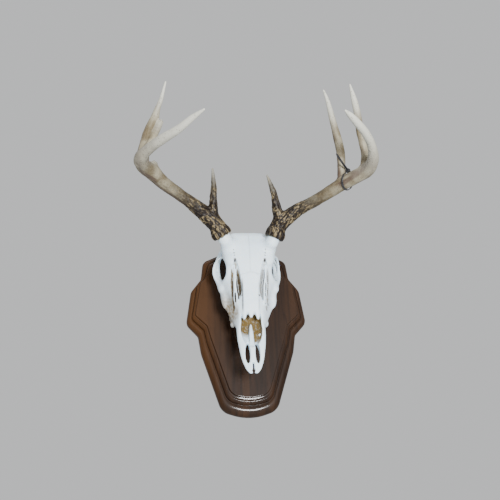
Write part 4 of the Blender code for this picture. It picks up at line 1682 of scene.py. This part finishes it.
    def tooth(self, volume: Volume, side: int, index: int) -> None:
        """One cheek tooth with its two cusps.

        Args:
            volume: The samples that it changes.
            side: -1 for the left side and 1 for the right.
            index: The tooth's number, from the back.
        """
        (x0, u0), (x1, u1) = self.tooth_row
        pitch = (u1 - u0) / self.teeth
        share = (index + 0.5) / self.teeth
        x, u = x0 + (x1 - x0) * share, u0 + (u1 - u0) * share
        width, height = self.tooth_width * (1 - self.tooth_taper * share), self.tooth_height
        for part in self.cusps:
            centre = (side * x, u + part * pitch, self.tooth_crown + height)
            volume.ball(centre, (width, pitch * self.cusp_length, height), Joining.ADD, self.cusp_blend)

    def nose(self, volume: Volume) -> None:
        """Open the nose under its pointed nasal bones, with the vomer in it, and split the tip.

        Args:
            volume: The samples that it changes.
        """
        volume.ball(*self.nose_hollow, Joining.CUT, self.edge)
        half_width = self.nose_hollow[1][0] - 1.0
        cut, (x, u, h) = volume.window(*np.array(self.nasal_box, dtype=float))
        edge = self.nasal_edge + self.nasal_points * np.cos(2 * math.pi * x / self.nasal_pitch)
        sides = np.abs(x) - half_width
        opening = np.maximum(np.maximum((edge - u) * self.nasal_slope, sides), self.nasal_floor - h)
        volume.change(cut, opening, Joining.CUT, self.sharp_edge)
        volume.ball(*self.chip, Joining.ADD, self.sharp_edge)
        for side in SIDES:
            volume.rod(self.mirrored(self.vomer, side), Joining.ADD, self.edge)
        half, (hole, radius) = self.notch_width / 2, self.notch_hole
        cut, (x, u, _) = volume.window(*np.array(self.notch_box, dtype=float))
        volume.change(cut, np.maximum(np.abs(x) - half, self.notch_start - u), Joining.CUT, self.notch_edge)
        volume.change(cut, np.sqrt(x**2 + (u - hole) ** 2) - radius, Joining.CUT, self.thin_edge)

    def trim(self, volume: Volume) -> None:
        """Flatten the occiput where the skull sits on the board.

        Args:
            volume: The samples that it changes.
        """
        x, u, h = (axis.reshape(shape) for axis, shape in zip(volume.axes(), SPREADS))
        row = self.to_part()[1]
        depth = row[0] * x + row[1] * u + row[2] * h + row[3]
        volume.values = np.maximum(volume.values, depth - self.seat_y)

    def build(self, finish: BoneFinish) -> bpy.types.Object:
        """Make the skin, mark its seams and holes and colour it.

        Args:
            finish: What the skull is dressed in.

        Returns:
            The skull.
        """
        volume = self.volume()
        points, quads = volume.surface()
        points = relaxed(points, quads, self.relax_rounds)
        normals = point_normals(points, quads)
        stain_and_shade, seam_and_shade, height = self.marks(points)
        points = points + normals * height[:, None]
        matrix = np.array(self.to_part())
        placed = points @ matrix[:3, :3].T + matrix[:3, 3]
        placed[:, 1] = np.minimum(placed[:, 1], self.seat_y)
        # The tan mask holds stains and painted warm shade, the dark mask seams and painted dark shade.
        thing = mesh_object("bleached_skull", placed, quads, {"stain_and_shade": stain_and_shade, "seam_and_shade": seam_and_shade})
        return dress(thing, finish, "skull")

    def marks(self, points: np.ndarray) -> tuple[np.ndarray, np.ndarray, np.ndarray]:
        """Tan stains, dark seams, painted tan and dark shade in the hollows, and small changes of height over the
        skin.

        Args:
            points: The skin's points in the skull's axes.

        Returns:
            The tan mask of stains and painted shade, the dark mask of seams and painted shade, and the height to add.
        """
        across, along, rise = points.T
        on_left = across < 0
        stain_and_shade, pit, orbit = self.nose_stain(across, along, rise), self.pit_depth(points), self.orbit_depth(points)
        seam_and_shade = self.seams(points)
        at_side, start, stop, low = self.tooth_stain_and_shade_edges
        teeth = smooth_step(np.abs(across), *at_side) * smooth_step(along, *start) * smooth_fall(along, *stop)
        # Tan: the stain of the pits and the teeth, with painted warm shade there and in the eye sockets, stronger on
        # the shaded left.
        for mask in (
            smooth_step(pit, *self.pit_stain_and_shade_depth) * np.where(on_left, *self.pit_stain_and_shade),
            smooth_fall(rise, *low) * teeth * np.where(on_left, *self.tooth_stain_and_shade),
            smooth_step(orbit, *self.socket_tan_shade_depth) * self.socket_tan_shade,
        ):
            stain_and_shade = np.maximum(stain_and_shade, mask)
        # Dark: painted shade deep in the eye sockets and the pits.
        for mask in (
            smooth_step(orbit, *self.socket_shade_depth) * self.socket_shade,
            smooth_step(pit, *self.pit_shade_depth) * np.where(on_left, *self.pit_shade),
        ):
            seam_and_shade = np.maximum(seam_and_shade, mask)
        height = layered_noise(points / self.swells[0], 31) * self.swells[1]
        height += layered_noise(points / self.grain[0], 33, 2) * self.grain[1]
        height -= np.minimum(seam_and_shade, self.sink[0]) * self.sink[1]
        return stain_and_shade, seam_and_shade, height

    def seams(self, points: np.ndarray) -> np.ndarray:
        """The seams of the face, the nasal groove darker on the left as painted shade, and small holes painted dark
        as shade.

        Args:
            points: The skin's points in the skull's axes.

        Returns:
            How dark each point is, from 0 to 1.
        """
        across, along, rise = points.T
        side = np.abs(across)
        upper = rise > read_table(self.face, along)
        wander = layered_noise(points / self.waver[0], 21) * self.waver[1]
        first, last = self.middle_seam_reach
        seam_and_shade = self.line(across, wander, self.middle_seam) * (along > first) * (along < last)
        slanted = self.line(along - side * self.brow_seam_slant, wander, self.brow_seam)
        groove = self.line(side, wander, self.nasal_groove) * smooth_step(along, *self.nasal_groove_start)
        groove *= smooth_fall(along, *self.nasal_groove_end) * np.where(across < 0, *self.groove_shade)
        for mask in (slanted * (side < self.brow_seam_half), groove):
            seam_and_shade = np.maximum(seam_and_shade, mask)
        near, far = self.hole_edges
        for x, u, radius in self.holes:
            gap = np.sqrt((side - x) ** 2 + (along - u) ** 2)
            seam_and_shade = np.maximum(seam_and_shade, smooth_fall(gap, radius * near, radius * far))
        return seam_and_shade * upper

    def nose_stain(self, across: np.ndarray, along: np.ndarray, rise: np.ndarray) -> np.ndarray:
        """How tan the nose's inner faces are, less so on the left and towards the tip.

        Args:
            across: Places across the skull.
            along: Places along it.
            rise: Heights over the palate.

        Returns:
            How tan each point is, from 0 to 1.
        """
        (_, middle, height), (width, length, depth) = self.nose_hollow
        reach = np.sqrt((across / (width + 0.9)) ** 2 + ((along - middle) / (length + 1)) ** 2
                        + ((rise - height) / (depth + 0.9)) ** 2)
        inside = 1.0 - smooth_step(reach, 0.97, 1.02)
        fade = np.where(across < 0, 1.0 - smooth_step(along, 204.0, 222.0), 1.0 - smooth_step(along, 222.0, 238.0))
        (x, u, h), size = self.chip
        on_chip = (np.hypot(across - x, along - u) < size[1]) & (rise > h + 0.2)
        on_vomer = np.abs(across) < np.interp(along, (194, 212), (1.6, 4.2))
        return inside * fade * np.where(on_chip | (on_vomer & (along > 196)), 0.05, 1.0)

    def pit_depth(self, points: np.ndarray) -> np.ndarray:
        """How deep in the gap before an eye each point lies, from 0 to 1.

        Args:
            points: The skin's points in the skull's axes.

        Returns:
            The depth at each point.
        """
        reach = np.full(len(points), 9.0)
        for side in SIDES:
            for x, u, h, radius in self.mirrored(self.pit, side):
                gap = np.linalg.norm(points - np.array((x, u, h)), axis=1)
                reach = np.minimum(reach, gap / (radius + 1.2))
        depth = self.brow_height(points[:, 1]) - points[:, 2]
        return (1.0 - smooth_step(reach, 1.0, 1.12)) * smooth_step(depth, 1.0, 8.0)

    def orbit_depth(self, points: np.ndarray) -> np.ndarray:
        """How deep inside an eye socket each point lies, from 0 to 1.

        Args:
            points: The skin's points in the skull's axes.

        Returns:
            The depth at each point.
        """
        depth = np.zeros(len(points))
        for side in SIDES:
            inverse = np.array(self.orbit_matrix(side).inverted())
            local = points @ inverse[:3, :3].T + inverse[:3, 3]
            inside = np.linalg.norm(local[:, :2], axis=1) < self.orbit_radius - 1.0
            depth = np.maximum(depth, smooth_step(-local[:, 2], 1.0, 26.0) * inside * (local[:, 2] > -46))
        return depth

    @staticmethod
    def line(place: np.ndarray, wander: np.ndarray, seam_and_shade: Seam) -> np.ndarray:
        """How dark a line on the face is at places across it."""
        return np.exp(-(((place - seam_and_shade.middle + wander * seam_and_shade.wander) / seam_and_shade.width) ** 2)) * seam_and_shade.strength


@dataclass
class CableTie:
    """The nylon tie round the right beam."""

    centre: Row = (147, -213, 89.5)
    axis: Row = (0.62, -0.78, 0.08)
    radius: float = 12.6
    thickness: float = 1.1
    width: float = 3.2
    slant: float = 6.0
    steps: int = 96
    head_size: Row = (6.5, 5.0, 5.5)
    head_turn: float = math.radians(8.0)
    tail_end: Row = (124, -245, 119)
    tail_teeth: int = 26
    tooth_depth: float = 0.25
    edge: float = 0.3
    head_bevel: float = 0.7
    bevel_steps: int = 3
    sharp_degrees: float = 40.0
    # The tail: where it leaves the head, its bow, and the share, length and depth of its taper.
    tail_lift: float = 0.8
    tail_bow: float = 1.2
    tail_taper: Row = (0.9, 0.1, 0.55)

    def frame(self) -> tuple[Vector, Vector, Vector]:
        """The loop's axis, its upward direction and its front.

        Returns:
            Three directions of unit length.
        """
        axis = Vector(self.axis).normalized()
        up = (Vector((0, 0, 1)) - axis * axis.z).normalized()
        front = up.cross(axis)
        return axis, up, front if front.y < 0 else -front

    def band(self, shape: bmesh.types.BMesh) -> None:
        """The strap round the beam, with its edges rounded off.

        Args:
            shape: The bmesh that it is added to.
        """
        axis, up, front = self.frame()
        rows = []
        half, rim, edge = self.width / 2, self.thickness, self.edge
        section = ((0.0, -half + edge), (edge, -half), (rim - edge, -half), (rim, -half + edge),
                   (rim, half - edge), (rim - edge, half), (edge, half), (0.0, half - edge))
        for step in range(self.steps):
            turn = 2 * math.pi * step / self.steps
            out = up * math.cos(turn) + front * math.sin(turn)
            middle = Vector(self.centre) + axis * (self.slant * math.cos(turn))
            rows.append([shape.verts.new((middle + out * (self.radius + r) + axis * w) * MM) for r, w in section])
        for i, row in enumerate(rows):
            following = rows[(i + 1) % self.steps]
            for k in range(len(row)):
                m = (k + 1) % len(row)
                shape.faces.new((row[k], row[m], following[m], following[k]))

    def head_place(self) -> tuple[Vector, Vector, Matrix]:
        """The head's middle, its outward direction and its turn.

        Returns:
            The place, the direction and the matrix.
        """
        axis, up, front = self.frame()
        out = up * math.cos(self.head_turn) + front * math.sin(self.head_turn)
        lift = self.radius + self.head_size[2] / 2
        top = Vector(self.centre) + axis * (self.slant * math.cos(self.head_turn)) + out * lift
        return top, out, Matrix((axis, axis.cross(out), out)).transposed().to_4x4()

    def build(self, finish: NylonFinish) -> bpy.types.Object:
        """Make the strap, the locking head and the toothed tail.

        Args:
            finish: What the tie is dressed in.

        Returns:
            The tie.
        """
        shape = bmesh.new()
        self.band(shape)
        top, out, turn = self.head_place()
        head = bmesh.ops.create_cube(shape, size=1.0)["verts"]
        size = Matrix.Diagonal((*(Vector(self.head_size) * MM), 1.0))
        bmesh.ops.transform(shape, matrix=Matrix.Translation(top * MM) @ turn @ size, verts=head)
        edges = list(dict.fromkeys(edge for vert in head for edge in vert.link_edges))
        bmesh.ops.bevel(shape, geom=edges, offset=self.head_bevel * MM, segments=self.bevel_steps, affect="EDGES",
                        profile=0.5)
        self.tail(shape, top + out * self.tail_lift, out)
        thing = bmesh_object("nylon_tie", shape, self.sharp_degrees)
        return dress(thing, finish, "cable_tie")

    def tail(self, shape: bmesh.types.BMesh, start: Vector, out: Vector) -> None:
        """The loose end, toothed on its inner face and tapered at its tip.

        Args:
            shape: The bmesh that it is added to.
            start: Where it leaves the head.
            out: The head's outward direction.
        """
        run = Vector(self.tail_end) - start
        ahead = run.normalized()
        across = ahead.cross(out).normalized()
        lift = ahead.cross(across)
        rows = []
        count = self.tail_teeth * 2
        first, length, depth = self.tail_taper
        for step in range(count + 1):
            share = step / count
            bend = lift * (math.sin(share * math.pi) * self.tail_bow)
            width = self.width / 2 * (1.0 if share < first else 1.0 - depth * (share - first) / length)
            notch = self.tooth_depth if step % 2 else 0.0
            middle = start + run * share + bend
            half = self.thickness / 2
            corners = ((-width, -half), (width, -half), (width, half - notch), (-width, half - notch))
            rows.append([shape.verts.new((middle + across * a + lift * b) * MM) for a, b in corners])
        for lower, upper in zip(rows, rows[1:]):
            for k in range(4):
                m = (k + 1) % 4
                shape.faces.new((lower[k], lower[m], upper[m], upper[k]))
        shape.faces.new(rows[0])
        shape.faces.new(rows[-1])


LEFT_BEAM = Branch((
    (-47, -130, 30, 12), (-62, -140, 50, 13.1), (-80, -150, 63, 12.2), (-109, -170, 77, 9.4), (-140, -190, 91, 10.2),
    (-158, -215, 96, 11.5), (-171, -245, 92, 11.1), (-172, -275, 87, 9.2), (-158, -300, 87, 7.3),
    (-140, -325, 86, 6.8), (-119, -350, 85, 5.5), (-101, -372, 88, 4.2), (-86, -390, 89, 1.6),
))
LEFT_TINES = (
    Branch(((-172, -262, 90, 9.5), (-165, -272, 120, 8.2), (-158, -277, 137, 8.4), (-154, -282, 148, 6.7),
            (-150, -288, 160, 4.4), (-145, -295, 172, 3.2), (-138, -310, 193, 1.6))),
    Branch(((-166, -278, 94, 6), (-157, -279, 114, 5), (-145, -284, 143, 4.6)), broken=True),
    Branch(((-156, -214, 96, 9.5), (-158, -214, 105, 8.6), (-159, -215, 114, 7)), broken=True),
    Branch(((-66, -143, 54, 8.5), (-63, -150, 67, 7.3), (-63, -160, 84, 5.7), (-63, -172, 101, 4.6),
            (-65, -185, 123, 1.6))),
)
RIGHT_BEAM = Branch((
    (37, -130, 27, 12), (46, -138, 46, 13.2), (61, -149, 57, 11.8), (78, -160, 66, 9.8), (101, -175, 73, 9.2),
    (123, -190, 82, 9.7), (140, -205, 88, 10.4), (156, -225, 90, 11), (170, -245, 91, 10.8), (172, -270, 94, 8.7),
    (164, -295, 100, 6.6), (148, -320, 106, 6.1), (131, -340, 109, 5.6), (117, -355, 111, 4.3), (107, -365, 112, 1.7),
))
RIGHT_TINES = (
    Branch(((140, -205, 90, 7.6), (140, -213, 118, 6.4), (138, -222, 141, 6.8), (132, -230, 167, 6),
            (125, -238, 196, 4.8), (119, -245, 220, 3.3), (113, -250, 235, 1.6))),
    Branch(((167, -240, 92, 7.5), (170, -245, 118, 6.2), (166, -252, 141, 6.3), (162, -258, 155, 5.9),
            (159, -266, 177, 5.5), (153, -275, 199, 4.7), (146, -285, 220, 1.6))),
    Branch(((48, -142, 50, 9), (43, -150, 63, 8.2), (39, -160, 78, 6.1), (33, -172, 94, 4.5), (23, -185, 113, 1.6))),
)


@dataclass
class Studio:
    """The pale floor, the soft lights and the camera."""

    floor_z: float = -1.35
    floor_size: float = 40.0
    target: Row = (0.0127, 0.0, 0.060)
    azimuth: float = -7.0
    elevation: float = -22.8
    roll: float = -2.5
    distance: float = 1.12
    lens: float = 43.2
    key_azimuth: float = 6.0
    key_elevation: float = -13.8
    key_distance: float = 1.9
    key_size: float = 0.36
    key_power: float = 60.0
    # Azimuth, elevation, distance, size and power.
    top_lamp: Row = (-30.0, 60.0, 2.2, 1.2, 14.0)
    sensor: float = 36.0
    floor_colour: Row = (0.78, 0.78, 0.77, 1)
    floor_roughness: float = 0.8
    sky_colour: Row = (0.86, 0.87, 0.88, 1)
    sky_strength: float = 0.75

    def facing(self, azimuth: float, elevation: float, distance: float) -> Matrix:
        """The place and turn of something that faces the target.

        Args:
            azimuth: Its angle round the target, in degrees.
            elevation: Its angle over the target, in degrees.
            distance: How far off it stands, in metres.

        Returns:
            The matrix.
        """
        a, e = math.radians(azimuth), math.radians(elevation)
        back = Vector((math.sin(a) * math.cos(e), -math.cos(a) * math.cos(e), math.sin(e)))
        place = Matrix.Translation(Vector(self.target) + back * distance)
        return place @ back.to_track_quat("Z", "Y").to_matrix().to_4x4()

    def camera(self) -> None:
        """A camera where the photograph was taken from."""
        data = bpy.data.cameras.new("camera")
        data.lens = self.lens
        data.sensor_width = self.sensor
        eye = shown("camera", data)
        turn = Matrix.Rotation(math.radians(self.roll), 4, "Z")
        eye.matrix_world = self.facing(self.azimuth, self.elevation, self.distance) @ turn
        bpy.context.scene.camera = eye

    def lamp(self, name: str, azimuth: float, elevation: float, distance: float, size: float, power: float) -> None:
        """A square soft light that faces the target.

        Args:
            name: The light's name.
            azimuth: Its angle round the target, in degrees.
            elevation: Its angle over the target, in degrees.
            distance: How far off it stands, in metres.
            size: Its side, in metres.
            power: Its power, in watts.
        """
        data = bpy.data.lights.new(name, "AREA")
        data.size = size
        data.energy = power
        shown(name, data).matrix_world = self.facing(azimuth, elevation, distance)

    def build(self) -> None:
        """Set up the floor, the world, the lights and the camera."""
        self.camera()
        shape = bmesh.new()
        bmesh.ops.create_grid(shape, x_segments=2, y_segments=2, size=self.floor_size / 2)
        floor = bmesh_object("floor", shape, sharp_degrees=30.0)
        floor.location.z = self.floor_z
        paint = bpy.data.materials.new("floor_paint")
        paint.use_nodes = True
        shader = paint.node_tree.nodes["Principled BSDF"]
        shader.inputs["Base Color"].default_value = self.floor_colour
        shader.inputs["Roughness"].default_value = self.floor_roughness
        floor.data.materials.append(paint)
        world = bpy.data.worlds.new("studio")
        world.use_nodes = True
        sky = world.node_tree.nodes["Background"]
        sky.inputs["Color"].default_value = self.sky_colour
        sky.inputs["Strength"].default_value = self.sky_strength
        bpy.context.scene.world = world
        self.lamp("key", self.key_azimuth, self.key_elevation, self.key_distance, self.key_size, self.key_power)
        self.lamp("top", *self.top_lamp)


def main() -> None:
    """Build every piece in order, report it and keep the sizes."""
    logging.basicConfig(level=logging.INFO, format="%(name)s %(message)s")
    Studio().build()
    Plaque().build()
    ends = {}
    for side, beam in ((-1, LEFT_BEAM), (1, RIGHT_BEAM)):
        start, following = (np.array(row[:3], dtype=float) for row in beam.rows[:2])
        ends[side] = (tuple(start), tuple(following - start))
    Skull(burr_ends=ends).build(BoneFinish(Slot.BONE, 0.5))
    finish = AntlerFinish(Slot.ANTLER, 0.5)
    Antler("left_deer_antler", "left_antler", LEFT_BEAM, LEFT_TINES, seed=3).build(finish)
    Antler("right_deer_antler", "right_antler", RIGHT_BEAM, RIGHT_TINES, seed=7).build(finish)
    CableTie().build(NylonFinish(Slot.NYLON, 0.4))


if __name__ == "__main__":
    main()
